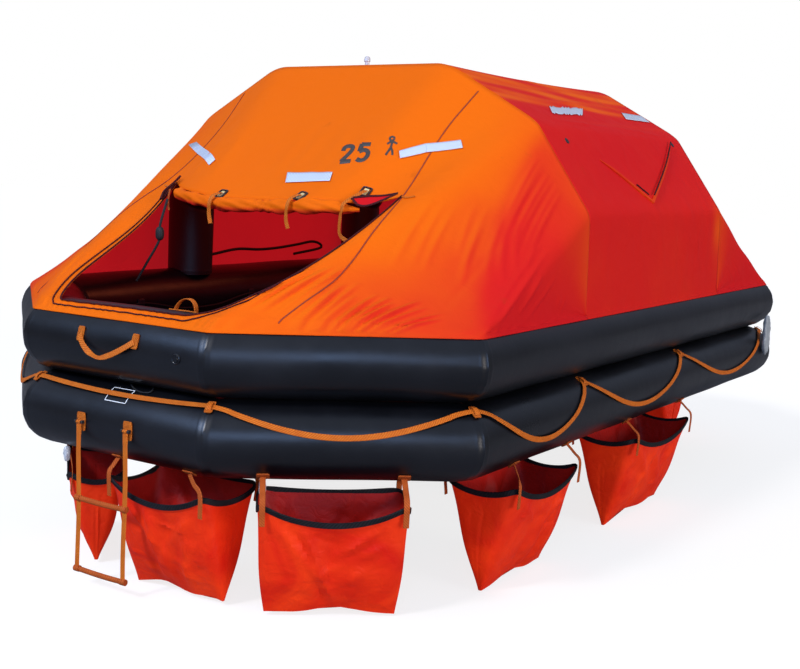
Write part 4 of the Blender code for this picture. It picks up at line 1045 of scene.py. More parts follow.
def make_end_markings(end, turn, seed):
    """Reflective tapes, and the number of people with a plain figure beside it. Each
    mark's corners are given on the panel, from its upper left one round."""

    def cloth(u, v, lift):
        return front_cloth(u, v, lift, seed)

    tapes = (
        ((0.329, 0.188), (0.309, 0.183), (0.178, 0.355), (0.185, 0.375)),
        ((-0.034, 0.398), (-0.142, 0.394), (-0.155, 0.426), (-0.051, 0.436)),
        ((-0.222, 0.275), (-0.247, 0.219), (-0.261, 0.238), (-0.234, 0.291)),
        ((-0.247, 0.219), (-0.290, 0.164), (-0.306, 0.185), (-0.261, 0.238)),
    )
    shapes = [mark(cloth, tape, unit_grid(30, 6), TAPE_LIFT, FRONT_CENTRE) for tape in tapes]
    add_piece("reflective_tapes_" + end, shapes, [TAPE], wall=0.0008, turn=turn)
    two = ((0.12, 0.68), (0.16, 0.84), (0.33, 0.90), (0.51, 0.84), (0.55, 0.67), (0.40, 0.43), (0.13, 0.12))
    foot = ((0.11, 0.10), (0.26, 0.10), (0.42, 0.10), (0.58, 0.10))
    roof = ((1.33, 0.90), (1.12, 0.90), (0.93, 0.90))
    back = ((0.95, 0.92), (0.92, 0.74), (0.88, 0.55))
    bowl = ((0.88, 0.53), (1.07, 0.61), (1.26, 0.53), (1.30, 0.33), (1.19, 0.14), (1.00, 0.09), (0.83, 0.17))
    corners = ((-0.101, 0.288), (-0.165, 0.276), (-0.193, 0.340), (-0.134, 0.364))
    grids = strokes((two, foot, roof, back, bowl), 0.20, 1.43)
    shapes = [mark(cloth, corners, grid, PRINT_LIFT, FRONT_CENTRE) for grid in grids]
    ring = [
        (0.27 + 0.11 * math.cos(t), 0.86 + 0.10 * math.sin(t)) for t in np.linspace(0, 2 * math.pi, 9)[:-1]
    ]
    body = ((0.30, 0.74), (0.29, 0.60), (0.27, 0.40))
    arms = ((0.06, 0.58), (0.28, 0.70), (0.55, 0.60))
    legs = (((0.27, 0.40), (0.18, 0.22), (0.08, 0.02)), ((0.27, 0.40), (0.36, 0.22), (0.40, 0.02)))
    corners = ((-0.180, 0.249), (-0.201, 0.236), (-0.225, 0.288), (-0.206, 0.305))
    grids = strokes((ring, body, arms, *legs), 0.10, 0.62, closed=(0,))
    shapes += [mark(cloth, corners, grid, PRINT_LIFT, FRONT_CENTRE) for grid in grids]
    add_piece("capacity_mark_" + end, shapes, [INK], wall=0.0006, turn=turn)


def make_end_seams(end, turn, seed):
    """The lapped seam down each diagonal panel."""
    shapes = []
    v = np.linspace(0.02, 0.985, 120)
    for side in (-1, 1):
        u = side * (0.249 + 0.160 * smooth(0.10, 0.88, v) + 0.022 * v)
        shapes.append(ribbon(u, v, 0.0060, 0.0030, 0.0012, seed))
    add_piece("panel_seams_" + end, shapes, [SEAM], turn=turn)


def make_gutters():
    """A V of folded cloth on each wall leads rain down to its point. Each arm is a lip that stands
    out from the wall, painted lighter as lit cloth; a dark strip of painted shadow, for the slit
    under the fold, follows the steeper arm and turns a little way up the other."""
    point = (-0.05, -0.655)
    for name, turn in (("rain_gutter_port", 1), ("rain_gutter_starboard", -1)):
        shapes = []
        for start in ((-0.47, -0.487), (0.78, -0.395)):
            share = np.linspace(0, 1, 60)
            bow = 0.012 * np.sin(math.pi * share) * (1 if start[0] < 0 else -1)
            s = start[0] + (point[0] - start[0]) * share
            w = start[1] + (point[1] - start[1]) * share + bow
            path, facing = cloth_line(*roof_cloth(s, w, 0.003), 0.008)
            thin = 0.35 + 0.65 * smooth(0, 0.3, np.linspace(0, 1, len(path)))
            shapes.append(swept(path, facing, band(0.018, 0.012), scale=thin))
            # Painted shadow: a dark strip stands for the shade in the fold's slit.
            shadow_span = slice(0 if start[0] > 0 else int(0.70 * len(path)), int(0.93 * len(path)))
            dark = path[shadow_span] + np.array((0, 0, 0.020)) + facing[shadow_span] * 0.002
            shapes.append(swept(dark, facing[shadow_span], band(0.007, 0.006), slot=1))
        # Painted highlight: the lips are painted a lighter orange, as lit.
        painted_light = np.full(sum(len(shape[0]) for shape in shapes), 0.52)
        add_piece("folded_" + name, shapes, [CANOPY, ZIP], [name], painted_light=painted_light, turn=turn)


def make_roof_marks():
    """Two reflective tapes along each shoulder of the roof, and the eyelets in each wall."""
    tapes = (
        ((-0.462, -0.287), (0.082, -0.272), (-0.117, -0.301), (-0.587, -0.313)),
        ((0.681, -0.270), (0.960, -0.275), (0.935, -0.299), (0.574, -0.295)),
    )
    ring = ((0.005, 0.0012), (0.0085, 0.0035), (0.013, 0.0038), (0.0165, 0.0020), (0.0168, 0.0))
    for side, turn in (("port", 1), ("starboard", -1)):
        shapes = []
        for number, tape in enumerate(tapes):
            grid = unit_grid(60, 6)
            x, y = grid[..., :1], grid[..., 1:]
            rumple = 0.10 * np.sin(x * 44 + 3 * np.sin(x * 13)) * (number == 0)
            grid = np.concatenate([x, y + rumple], axis=-1)
            shapes.append(mark(roof_cloth, tape, grid, SHOULDER_LIFT, ROOF_CENTRE, (0.5, 0.05)))
        add_piece("shoulder_tapes_" + side, shapes, [TAPE], wall=0.0008, turn=turn)
        shapes = []
        for s, w in ((-0.767, -0.419), (0.832, -0.389)):
            centre, normal = roof_cloth(np.array([s]), np.array([w]), 0.0)
            shapes.append(turned(ring, centre[0], normal[0]))
        add_piece("wall_eyelets_" + side, shapes, [FITTING], turn=turn)


def make_label():
    """Two blank boxes printed in white outline on the lower tube above the ladder, in the tube's
    own curve, and a short black cord that hangs between the tubes beside them."""

    def on_tube(y, angle, lift):
        reach = TUBE_R + lift
        return np.stack(
            [0 * y - HALF_LENGTH - reach * np.cos(angle), y, LOWER_Z + reach * np.sin(angle)], axis=-1
        )

    shapes = []
    for low, high in ((0.92, 1.10), (0.66, 0.84)):
        corners = np.array([(0.062, low), (-0.062, low), (-0.062, high), (0.062, high), (0.062, low)])
        line = np.vstack([np.linspace(a, b, 14)[:-1] for a, b in zip(corners, corners[1:])])
        path = on_tube(line[:, 0] - 0.012, line[:, 1], 0.0012)
        facing = unit((path - (-HALF_LENGTH, 0.0, LOWER_Z)) * (1, 0, 1))
        shapes.append(swept(path, facing, band(0.0042, 0.0010), closed=True))
    add_piece("blank_label", shapes, [OUTLINE])
    y = np.array((-0.020, -0.050, -0.085, -0.125, -0.160, -0.165, -0.150))
    angle = np.array((1.30, 1.19, 1.10, 1.06, 1.10, 1.20, 1.32))
    path = smooth_line(on_tube(y, angle, 0.0065), 0.006)
    add_piece(
        "tube_cord", [swept(path, (-1, 0, 0.3), round_profile(0.0035, CORD_SIDES))], [CORD]
    )


def make_cabin_cords():
    """A cord that hangs along the starboard wall from the front arch, doubled back at its end, and
    one laced from the entrance's upper corner down to the tube."""
    along = [(-0.80, 1.165, 0.712), (-0.566, 1.165, 0.737), (-0.35, 1.165, 0.728), (-0.163, 1.165, 0.732)]
    along += [
        (0.05, 1.165, 0.748),
        (0.217, 1.165, 0.763),
        (0.305, 1.160, 0.742),
        (0.285, 1.155, 0.715),
        (0.0, 1.150, 0.688),
    ]
    shapes = [swept(smooth_line(along, 0.015), (0, -1, 0), round_profile(0.009, CORD_SIDES))]
    down = [
        (-1.93, 0.462, 1.080),
        (-1.95, 0.490, 0.950),
        (-1.95, 0.495, 0.872),
        (-1.97, 0.556, 0.757),
        (-2.0, 0.60, 0.66),
    ]
    shapes.append(swept(smooth_line(down, 0.012), (-1, 0, 0), round_profile(0.0065, CORD_SIDES)))
    shapes.append(soft_block((0.035, 0.046, 0.070), (-1.95, 0.492, 0.905), np.eye(3), power=2.6))
    add_piece("cabin_cords", shapes, [CORD])


# Water pockets

OUTER_SAG, INNER_SAG, SHORT_SAG = 0.080, 0.018, 0.045
KEEL_Z, KEEL_WIDTH, KEEL_SHARE = -0.588, 0.030, 0.88
RUN_MARGIN = 0.08
STRAP_LEAN, STRAP_TAIL = math.radians(38), 0.095
RIM_BAND = band(0.026, 0.0085)
# Each row: name, centre x, centre y, heading in degrees of the long side, rim length, rim depth
# and rim height.
POCKETS = (
    ("inner", -2.330, 0.520, 48.0, 0.62, 0.27, -0.170),
    ("end", -2.550, -0.255, 90.0, 0.57, 0.37, -0.100),
    ("diagonal", -2.345, -0.915, -50.7, 0.63, 0.30, -0.100),
    ("corner", -1.390, -1.270, 0.0, 0.66, 0.38, -0.100),
    ("side", 0.060, -1.270, 0.0, 0.84, 0.38, -0.100),
)


def pocket_folds(share, down, seed):
    """A bag's folds over its share of a turn and of its depth, each 0 to 1: sharp ones from the rim's
    corners to the keel, soft upright ones, and short creases where the cloth has crumpled."""
    draw = np.random.default_rng(seed)
    height = 0.0 * share * down
    for side in (0.25, 0.75):
        for _ in range(5):
            top = side + draw.uniform(-0.10, 0.10)
            foot = side + draw.uniform(-0.10, 0.10)
            width = draw.uniform(0.011, 0.018)
            height += fold(share, down, (top, -0.1), (foot, 1.1), width, draw.uniform(-0.018, 0.022))
        for corner in (-0.12, 0.12):
            reach = draw.uniform(0.4, 0.9)
            end = (side + corner * draw.uniform(-0.3, 0.3), reach)
            height += fold(share, down, (side + corner, 0.0), end, 0.012, draw.uniform(0.010, 0.018))
        for _ in range(18):
            at, deep = side + draw.uniform(-0.11, 0.11), draw.uniform(0.15, 0.95)
            end = (at + draw.uniform(-0.04, 0.04), deep + draw.uniform(-0.25, 0.25))
            height += fold(share, down, (at, deep), end, 0.012, draw.uniform(-0.010, 0.012))
    for side in (0.0, 0.5, 1.0):
        for _ in range(3):
            at = side + draw.uniform(-0.05, 0.05)
            end = (side + draw.uniform(-0.07, 0.07), 1.0)
            height += fold(share, down, (at, 0.05), end, 0.012, draw.uniform(-0.010, 0.012))
    return height


def pocket_bag(length, depth, rim_z, outward, seed, columns=112, rows=38):
    """The bag in its own frame, its long side along X. Its rings are superellipses, nearly square
    at the rim, that narrow to a keel as straight lines with a slight belly; the rim hangs between
    its corners as parabolas, and the keel's two ends hang lowest."""
    turn = full_turn(columns)
    down = np.linspace(0, 1, rows)[:, None]
    power = 9.0 - 4.0 * down
    c, s = np.cos(turn)[None], np.sin(turn)[None]
    size = (np.abs(c) ** power + np.abs(s) ** power) ** (-1 / power)
    x, y = c * size, s * size
    half = length / 2 * (1 - (1 - KEEL_SHARE) * down)
    reach = depth / 2 * (1 - down) + KEEL_WIDTH / 2 * down
    folds = pocket_folds(np.arange(columns)[None] / columns, down, seed)
    belly = 0.022 * np.sin(math.pi * down) - 0.010 * np.sin(2 * math.pi * down)
    out = folds * smooth(0.05, 0.25, down) * smooth(1.08, 0.85, down) + belly
    long_sag = np.where(np.sign(s) == outward, OUTER_SAG, INNER_SAG) * (1 - x**2) * np.abs(y) ** 8
    sag = long_sag + SHORT_SAG * (1 - y**2) * np.abs(x) ** 8
    droop = 0.020 * np.abs(x) ** 5 * down**4 + 0.010 * np.sin(5 * x + seed) * down**6
    z = rim_z + (KEEL_Z - rim_z) * down - sag * (1 - down) ** 1.5 - droop
    return np.stack([half * x + 0.35 * out * x, reach * y + out * np.abs(y) ** 2 * np.sign(s), z], axis=-1)


def nearest_run(x, y):
    """The two ends of the straight run of the tubes' centre line that passes nearest."""
    ring = octagon()
    ahead = np.roll(ring, -1, axis=0) - ring
    share = np.clip(((np.array((x, y)) - ring) * ahead).sum(axis=1) / (ahead**2).sum(axis=1), 0, 1)
    k = np.argmin(np.linalg.norm(ring + share[:, None] * ahead - (x, y), axis=1))
    return ring[k], ring[(k + 1) % 8]


def make_pocket(end, name, x, y, heading, length, depth, rim_z, seed):
    """A bag with black binding on its rim, and a webbing strap from each corner up to a patch on
    the lower tube's underside or, for a corner that lies further in, on the floor's underside."""
    angle = math.radians(heading)
    along = np.array((math.cos(angle), math.sin(angle), 0.0))
    beside = np.array((-math.sin(angle), math.cos(angle), 0.0))
    axes = np.array([along, beside, (0.0, 0.0, 1.0)])
    outward = np.sign(beside[:2] @ (x, y))
    local = pocket_bag(length, depth, rim_z, outward, seed)
    bag = local @ axes + (x, y, 0)
    node = f"water_pocket_{end}_{name}"
    shape = grid_shape(bag, around=True, caps=(False, True), inside=(x, y, (rim_z + KEEL_Z) / 2))
    cloth = add_piece(
        f"pocket_{end}_{name}_bag", [shape], [POCKET, POCKET_SHADED_INNER], [node], wall=0.002
    )
    rim = bag[1]
    out = unit((rim - (x, y, rim_z)) * (1, 1, 0))
    shapes = [swept(rim + out * 0.0025 + (0, 0, 0.002), out, RIM_BAND, closed=True)]
    start, stop = nearest_run(x, y)
    run = stop - start
    square = np.array((run[1], -run[0], 0.0)) / np.linalg.norm(run)
    for sx in (-1, 1):
        for sy in (-1, 1):
            corner = np.array((sx * (length / 2 - 0.020), sy * (depth / 2 - 0.012), rim_z)) @ axes + (x, y, 0)
            share = np.clip((corner[:2] - start) @ run / (run @ run), RUN_MARGIN, 1 - RUN_MARGIN)
            foot = np.append(start + share * run, 0.0)
            gap = square @ ((corner - foot) * (1, 1, 0))
            away = square * np.sign(gap)
            if abs(gap) < TUBE_R + 0.08:
                lean = STRAP_LEAN * min(1.0, abs(gap) / TUBE_R)
                normal = away * math.sin(lean) - np.array((0, 0, math.cos(lean)))
                seat = foot + (0, 0, LOWER_Z) + normal * (TUBE_R + 0.0005)
            else:
                normal = np.array((0.0, 0.0, -1.0))
                seat = np.append(corner[:2], FLOOR_LOW - 0.0005)
            side = unit(np.cross(normal, run_axis(run)))
            plate = soft_block(
                (0.055, 0.045, 0.008), seat + normal * 0.003, (run_axis(run), side, normal), 1, power=8
            )
            knot = seat + normal * 0.006
            low = corner + away * 0.006 + (0, 0, -STRAP_TAIL)
            middle = corner + away * 0.010 + (0, 0, 0.008)
            path = smooth_line([knot, knot * 0.5 + middle * 0.5 + away * 0.004, middle, low], 0.012)
            shapes += [plate, swept(path, away, band(WEB, 0.004), slot=1)]
    rigging = add_piece(f"pocket_{end}_{name}_rigging", shapes, [HEM, SHADE_WEBBING])


def run_axis(run):
    return np.append(run / np.linalg.norm(run), 0.0)


def make_pockets():
    for seed, (name, x, y, *form) in enumerate(POCKETS):
        make_pocket("front", name, x, y, *form, seed=seed + 40)
        make_pocket("rear", name, -x, -y, *form, seed=seed + 60)


# Webbing, cords and ladders

LADDER_STRAPS_Y = (0.155, -0.130)
LADDER_PIN_OUT, LADDER_RUNGS_Z = 0.016, (-0.220, -0.540)
LADDER_EYE_R = 0.0072
LOOP_BAND = band(0.026, 0.004)
LIFELINE_ANGLE = math.radians(58)
END_BIGHT, DIAGONAL_BIGHT, SIDE_BIGHT = 0.025, 0.130, 0.210
SIDE_PATCHES_X = (-0.920, 0.420)


def make_ladder(end, side):
    """Two webbing straps that loop round the hinge pins, doubled and sewn, with rungs of stiffened
    webbing whose ends are lashed to them."""
    pin_x = side * (OUTER_X + LADDER_PIN_OUT)
    facing = (side, 0, 0)
    shapes = []
    for front_y in LADDER_STRAPS_Y:
        y = -side * front_y
        turn = np.linspace(-0.5, 1.5, 17) * math.pi
        eye = np.stack([-side * np.cos(turn), 0 * turn, np.sin(turn)], axis=1) * LADDER_EYE_R
        shapes.append(swept(eye + (pin_x, y, LOWER_Z), eye, band(0.026, 0.0022)))
        low = LADDER_RUNGS_Z[-1] - 0.012
        z = np.linspace(LOWER_Z - 0.006, low, 60)
        sway = 0.004 * np.sin(9 * z + 5 * front_y)
        path = np.stack([pin_x + 0 * z, y + sway * smooth(LOWER_Z, LOWER_Z - 0.2, z), z], axis=1)
        shapes.append(swept(path, facing, band(0.028, 0.0042)))
        stitch = [(pin_x, y, LOWER_Z - 0.012), (pin_x, y, LOWER_Z - 0.055)]
        shapes.append(swept(evenly(np.array(stitch), 0.01), facing, band(0.029, 0.0066)))
    middle = -side * sum(LADDER_STRAPS_Y) / 2
    half = (LADDER_STRAPS_Y[0] - LADDER_STRAPS_Y[1]) / 2
    for z in LADDER_RUNGS_Z:
        y = np.linspace(-half - 0.012, half + 0.012, 40)
        sag = 0.003 * (1 - (y / half) ** 2)
        path = np.stack([pin_x + 0 * y, middle + y, z - sag], axis=1)
        shapes.append(swept(path, facing, round_profile(0.0125) * (1.0, 0.75), slot=1))
        for y_end in (-half, half):
            y = np.linspace(-0.015, 0.015, 7)
            path = np.stack([pin_x + 0 * y, middle + y_end + y, z + 0 * y], axis=1)
            shapes.append(
                swept(path, facing, round_profile(0.0145) * (1.0, 0.95), slot=1, scale=1 - 12 * y**2)
            )
    add_piece(
        "webbing_ladder_" + end,
        shapes,
        [WEBBING, SHADE_WEBBING],
        ["boarding_ladder_" + end],
        body="ladder_" + end,
    )


def make_ladder_patches(end, side):
    """The ladder's patches on the tube, each with two lugs and the pin between them."""
    pin_x = side * (OUTER_X + LADDER_PIN_OUT)
    for number, front_y in enumerate(LADDER_STRAPS_Y, 1):
        y = -side * front_y
        axes = ((side, 0, 0), (0, 1, 0), (0, 0, 1))
        plate = soft_block((0.006, 0.052, 0.082), (side * (OUTER_X + 0.0030), y, LOWER_Z), axes, 0, power=9)
        lug_x = side * (OUTER_X + (LADDER_PIN_OUT + 0.008) / 2)
        lugs = [
            soft_block(
                (LADDER_PIN_OUT + 0.008, 0.006, 0.016), (lug_x, y + s * 0.020, LOWER_Z), axes, 1, power=6
            )
            for s in (-1, 1)
        ]
        path = np.stack([np.full(5, pin_x), y + np.linspace(-0.021, 0.021, 5), np.full(5, LOWER_Z)], axis=1)
        pin = swept(path, (1, 0, 0), round_profile(0.0038), slot=2)
        name = f"ladder_patch_{end}_{number}"
        add_piece("hinge_" + name, [plate, *lugs, pin], [WEBBING, FITTING, STEEL], [name])


def beside_tube(place, outward, angle, radius):
    """A point beside the lower tube at this angle above its centre line. Below the centre line it
    hangs straight down from the tube's widest line."""
    reach = radius * np.cos(np.maximum(angle, 0.0))
    height = radius * np.where(angle > 0, np.sin(angle), angle)
    flat = place + outward * np.reshape(reach, (-1, 1))
    return np.hstack([flat, np.reshape(LOWER_Z + height, (-1, 1))])


def make_outer_lifeline():
    """Webbing in bights from tab to tab round the lower tube. Each bight's angle on the tube falls
    from the tabs' angle by a sine of the share of the way."""
    ring = octagon()
    mitre = octagon(1.0) - ring
    sags = (END_BIGHT, DIAGONAL_BIGHT, SIDE_BIGHT, DIAGONAL_BIGHT) * 2
    corner = list(zip(ring, mitre, sags))
    port = [(np.array((x, -HALF_WIDTH)), np.array((0.0, -1.0)), SIDE_BIGHT) for x in SIDE_PATCHES_X]
    stations = corner[:3] + port + corner[3:7] + [
        (-place, -out, sag) for place, out, sag in port
    ] + corner[7:]
    shapes = []
    path, facing = [], []
    share = np.array(
        [0.0, 0.03, 0.07, 0.12, 0.18, 0.26, 0.36, 0.46, 0.56, 0.66, 0.75, 0.82, 0.88, 0.93, 0.97]
    )
    for (here, out_here, sag), (there, _, _) in zip(stations, stations[1:] + stations[:1]):
        ahead = (there - here) / np.linalg.norm(there - here)
        outward = np.broadcast_to((ahead[1], -ahead[0]), (len(share), 2)).copy()
        outward[0] = out_here
        place = here + (there - here) * share[:, None]
        angle = LIFELINE_ANGLE - sag / TUBE_R * np.sin(math.pi * share) ** 0.8
        path.append(beside_tube(place, outward, angle, TUBE_R + 0.0085))
        slope = np.maximum(angle, 0.0)[:, None]
        facing.append(np.hstack([unit(outward) * np.cos(slope), np.sin(slope)]))
        flat = np.append(unit(out_here), 0.0)
        out = flat * math.cos(LIFELINE_ANGLE) + np.array((0, 0, math.sin(LIFELINE_ANGLE)))
        across = np.cross(flat, (0, 0, 1))
        seat = beside_tube(here, out_here, np.array([LIFELINE_ANGLE]), TUBE_R + 0.0030)[0]
        loop = np.cross(out, across)
        shapes.append(soft_block((0.006, 0.036, 0.066), seat, (out, across, loop), power=9))
        over = np.linspace(-1, 1, 9)[:, None]
        bow = seat + loop * over * 0.022 + out * (0.004 + 0.010 * (1 - over**4))
        shapes.append(swept(bow, out, band(0.024, 0.0025)))
    path, facing = np.vstack(path), np.vstack(facing)
    both = smooth_line(np.hstack([path, facing * 0.3]), 0.012, closed=True)
    shapes.insert(0, swept(both[:, :3], unit(both[:, 3:]), band(WEB, 0.0030), closed=True))
    add_piece("outer_lifeline_webbing", shapes, [WEBBING], ["outer_lifeline"])


def make_inner_lifeline():
    """A braided cord round the inside of the upper tube, in short bights from patch to patch."""
    ring = octagon()
    points, shapes = [], []
    for here, there in zip(ring, np.roll(ring, -1, axis=0)):
        length = np.linalg.norm(there - here)
        ahead = (there - here) / length
        inward = np.array([-ahead[1], ahead[0]])
        knots = max(1, round(length / 1.0))
        for k in range(knots):
            middle = (k + 0.5) / knots
            for step, drop in ((-0.35, 0.05), (-0.12, 0.012), (0.0, 0.0), (0.12, 0.012), (0.35, 0.05)):
                place = here + (there - here) * (middle + step / knots) + inward * (TUBE_R + 0.0095)
                points.append((*place, UPPER_Z - drop))
            place = here + (there - here) * middle + inward * (TUBE_R + 0.003)
            axes = ((*ahead, 0), (*inward, 0), (0, 0, 1))
            shapes.append(soft_block((0.052, 0.007, 0.052), (*place, UPPER_Z), axes, 1, power=8))
    path = smooth_line(points, 0.02, closed=True)
    shapes.append(swept(path, (0, 0, 1), round_profile(0.0055, CORD_SIDES), closed=True))
    add_piece("inner_lifeline_cord", shapes, [CORD, FITTING], ["inner_lifeline"])


def make_grab_handle(end, side):
    """A strap handle on the upper tube above the ladder: two patches and a bight, whose height is
    a parabola and which stands out from the tube as a half sine."""
    y_ends = [-side * y for y in (0.170, -0.160)]
    high, low = UPPER_Z + 0.045, UPPER_Z - 0.040
    share = np.linspace(0, 1, 41)
    z = low + (high - low) * np.abs(2 * share**0.82 - 1) ** 1.7
    y = y_ends[0] + (y_ends[1] - y_ends[0]) * share
    reach = HALF_LENGTH + np.sqrt((TUBE_R + 0.010) ** 2 - (z - UPPER_Z) ** 2)
    x = side * (reach + 0.026 * np.sin(math.pi * share))
    twist = np.exp(-(((share - 0.36) / 0.16) ** 2))
    facing = np.stack([side * (1 - 0.75 * twist), 0 * share, 0.25 + 0.75 * twist], axis=1)
    shapes = [swept(np.stack([x, y, z], axis=1), facing, LOOP_BAND)]
    angle = math.asin((high - UPPER_Z) / TUBE_R)
    out = np.array((side * math.cos(angle), 0.0, math.sin(angle)))
    for y in y_ends:
        place = np.array((side * HALF_LENGTH, y, UPPER_Z)) + out * (TUBE_R + 0.0038)
        up = np.array((-side * math.sin(angle), 0.0, math.cos(angle)))
        shapes.append(soft_block((0.008, 0.036, 0.066), place, (out, (0, 1, 0), up), power=9))
    add_piece("strap_handle_" + end, shapes, [WEBBING], ["grab_handle_" + end])


def make_sill_loop(end, side):
    """A boarding loop of webbing that stands as a half circle on the upper tube, inside its crown."""
    lean, foot_r = math.radians(25), TUBE_R + 0.003
    middle = side * 0.220
    foot = (side * (HALF_LENGTH - foot_r * math.sin(lean)), UPPER_Z + foot_r * math.cos(lean))
    normal = np.array((-side * math.sin(lean), 0.0, math.cos(lean)))
    slope = np.array((math.cos(lean), 0.0, side * math.sin(lean)))
    plate = soft_block((0.050, 0.170, 0.007), (foot[0], middle, foot[1]), (slope, (0, 1, 0), normal), power=9)
    turn = np.linspace(0, math.pi, 25)
    rise = 0.058 * np.sin(turn)
    path = np.stack([foot[0] - side * 0.3 * rise, middle + 0.060 * np.cos(turn), foot[1] + rise], axis=1)
    facing = np.stack([0 * turn, np.cos(turn), np.sin(turn)], axis=1)
    shapes = [plate, swept(path, facing, LOOP_BAND)]
    add_piece("boarding_loop_" + end, shapes, [WEBBING], ["sill_loop_" + end])


def make_righting_straps():
    """Two straps across the floor's underside with steps sewn between them."""
    z = FLOOR_LOW - 0.0025
    spans = [((x, -1.05, z), (x, 1.05, z), 0.050) for x in (-0.25, 0.25)]
    spans += [((-0.27, y, z - 0.0006), (0.27, y, z - 0.0006), 0.045) for y in (-0.75, -0.25, 0.25, 0.75)]
    shapes = [swept(evenly(np.array((a, b)), 0.05), (0, 0, -1), band(width, 0.004)) for a, b, width in spans]
    add_piece("righting_ladder", shapes, [WEBBING], ["righting_straps"])


# Gas cylinder and fittings


def make_gas_cylinder():
    """The cylinder under the floor is a turned profile about X, held by two bands; its valve has a
    turned head, and a hose leads from it to the lower tube."""
    y, z, butt_x = 0.930, FLOOR_LOW - 0.082, -0.360
    length, radius = 0.620, 0.068
    turn = np.linspace(0, math.pi / 2, 9)
    foot = [(radius * (0.55 + 0.45 * math.sin(t)), 0.012 + 0.038 * (1 - math.cos(t))) for t in turn]
    shoulder = [(radius * math.cos(t) * 0.72 + 0.019, length - 0.075 + 0.070 * math.sin(t)) for t in turn]
    profile = foot + [(radius, length - 0.085)] + shoulder + [(0.020, length + 0.020)]
    tank = turned(profile, (butt_x, y, z), (-1, 0, 0), sides=48)
    add_piece("co2_cylinder", [tank], [STEEL], ["gas_cylinder"])
    valve_x = butt_x - length - 0.0444
    head = [(0.006, -0.026), (0.020, -0.022), (0.022, 0.0), (0.019, 0.020), (0.012, 0.026)]
    outlet = [(0.011, 0.0), (0.011, 0.036), (0.013, 0.038), (0.013, 0.052), (0.008, 0.0545)]
    shapes = [turned(head, (valve_x, y, z), (0, 0, 1)), turned(outlet, (valve_x, y, z), (0, 1, 0), 12)]
    add_piece("cylinder_head", shapes, [FITTING], ["cylinder_valve"])
    start_y, end_y = y + 0.056, HALF_WIDTH - 0.060
    end_z = LOWER_Z - math.sqrt(TUBE_R**2 - 0.060**2) - 0.0105
    share = np.linspace(0, 1, 50)
    path = np.stack(
        [
            valve_x - 0.100 * (1 - np.cos(math.pi * share / 2)),
            start_y + (end_y - start_y) * share,
            z + (end_z - z) * share**2 - 0.020 * np.sin(math.pi * share) ** 2,
        ],
        axis=1,
    )
    hose = swept(path, (0, 0, 1), round_profile(0.009), scale=1 + 0.04 * np.cos(share * 300))
    add_piece("inflation_line", [hose], [FITTING], ["inflation_hose"])
    reach = radius + 0.0030
    for name, along in (("cylinder_band_1", 0.140), ("cylinder_band_2", length - 0.200)):
        x = butt_x - along
        turn = np.linspace(-math.pi, 0, 33)
        ring = np.stack([0 * turn + x, y + reach * np.cos(turn), z + reach * np.sin(turn)], axis=1)
        top = FLOOR_LOW - 0.004
        ring = np.vstack([[(x, y - reach, top)], ring, [(x, y + reach, top)]])
        ring = evenly(ring, 0.01)
        strap = swept(ring, unit((ring - (0, y, z)) * (0, 1, 1)), band(0.040, 0.003))
        plate = evenly(np.array([(x, y - 0.120, top + 0.001), (x, y + 0.120, top + 0.001)]), 0.02)
        shapes = [strap, swept(plate, (0, 0, -1), band(0.050, 0.004))]
        add_piece("holding_" + name, shapes, [WEBBING], [name])


def make_lights_and_cells():
    """The lamp on the front arch, the lamp in the cabin, and the two water-lit cells that hang
    from the tube in clear crumpled bags."""
    low, high = (np.array(corner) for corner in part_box("canopy_light"))
    middle, tall = (low + high) / 2, high[2] - low[2]
    dome = [(0.013, 0.0), (0.014, 0.004), (0.0125, 0.008), (0.0125, tall * 0.45), (0.017, tall * 0.5)]
    dome += [(0.017, tall * 0.72), (0.014, tall * 0.9), (0.007, tall)]
    lamp = turned(dome, (middle[0], middle[1], low[2]), (0, 0, 1))
    add_piece("locator_lamp", [lamp], [LAMP], ["canopy_light"])
    low, high = (np.array(corner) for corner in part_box("cabin_light"))
    tall = high[2] - low[2]
    dome = [(0.008, 0.0), (0.017, 0.005), (0.021, 0.014), (0.022, 0.026), (0.020, 0.028), (0.020, tall)]
    lamp = turned(dome, ((low[0] + high[0]) / 2, (low[1] + high[1]) / 2, low[2]), (0, 0, 1))
    add_piece("cabin_lamp", [lamp], [LAMP], ["cabin_light"])
    for number in (1, 2):
        name = f"light_cell_{number}"
        low, high = (np.array(corner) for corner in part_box(name))
        points, faces, uv, slot = soft_block(high - low, (low + high) / 2, np.eye(3), power=3.5)
        wrinkle = 0.0035 * np.sin(points @ (260, 190, 120) + 2 * np.sin(points @ (90, 310, 150)))
        points = points + unit(points - points.mean(axis=0)) * wrinkle[:, None] * (1, 1, 0.3)
        add_piece("water_" + name, [(points, faces, uv, slot)], [LAMP], [name])


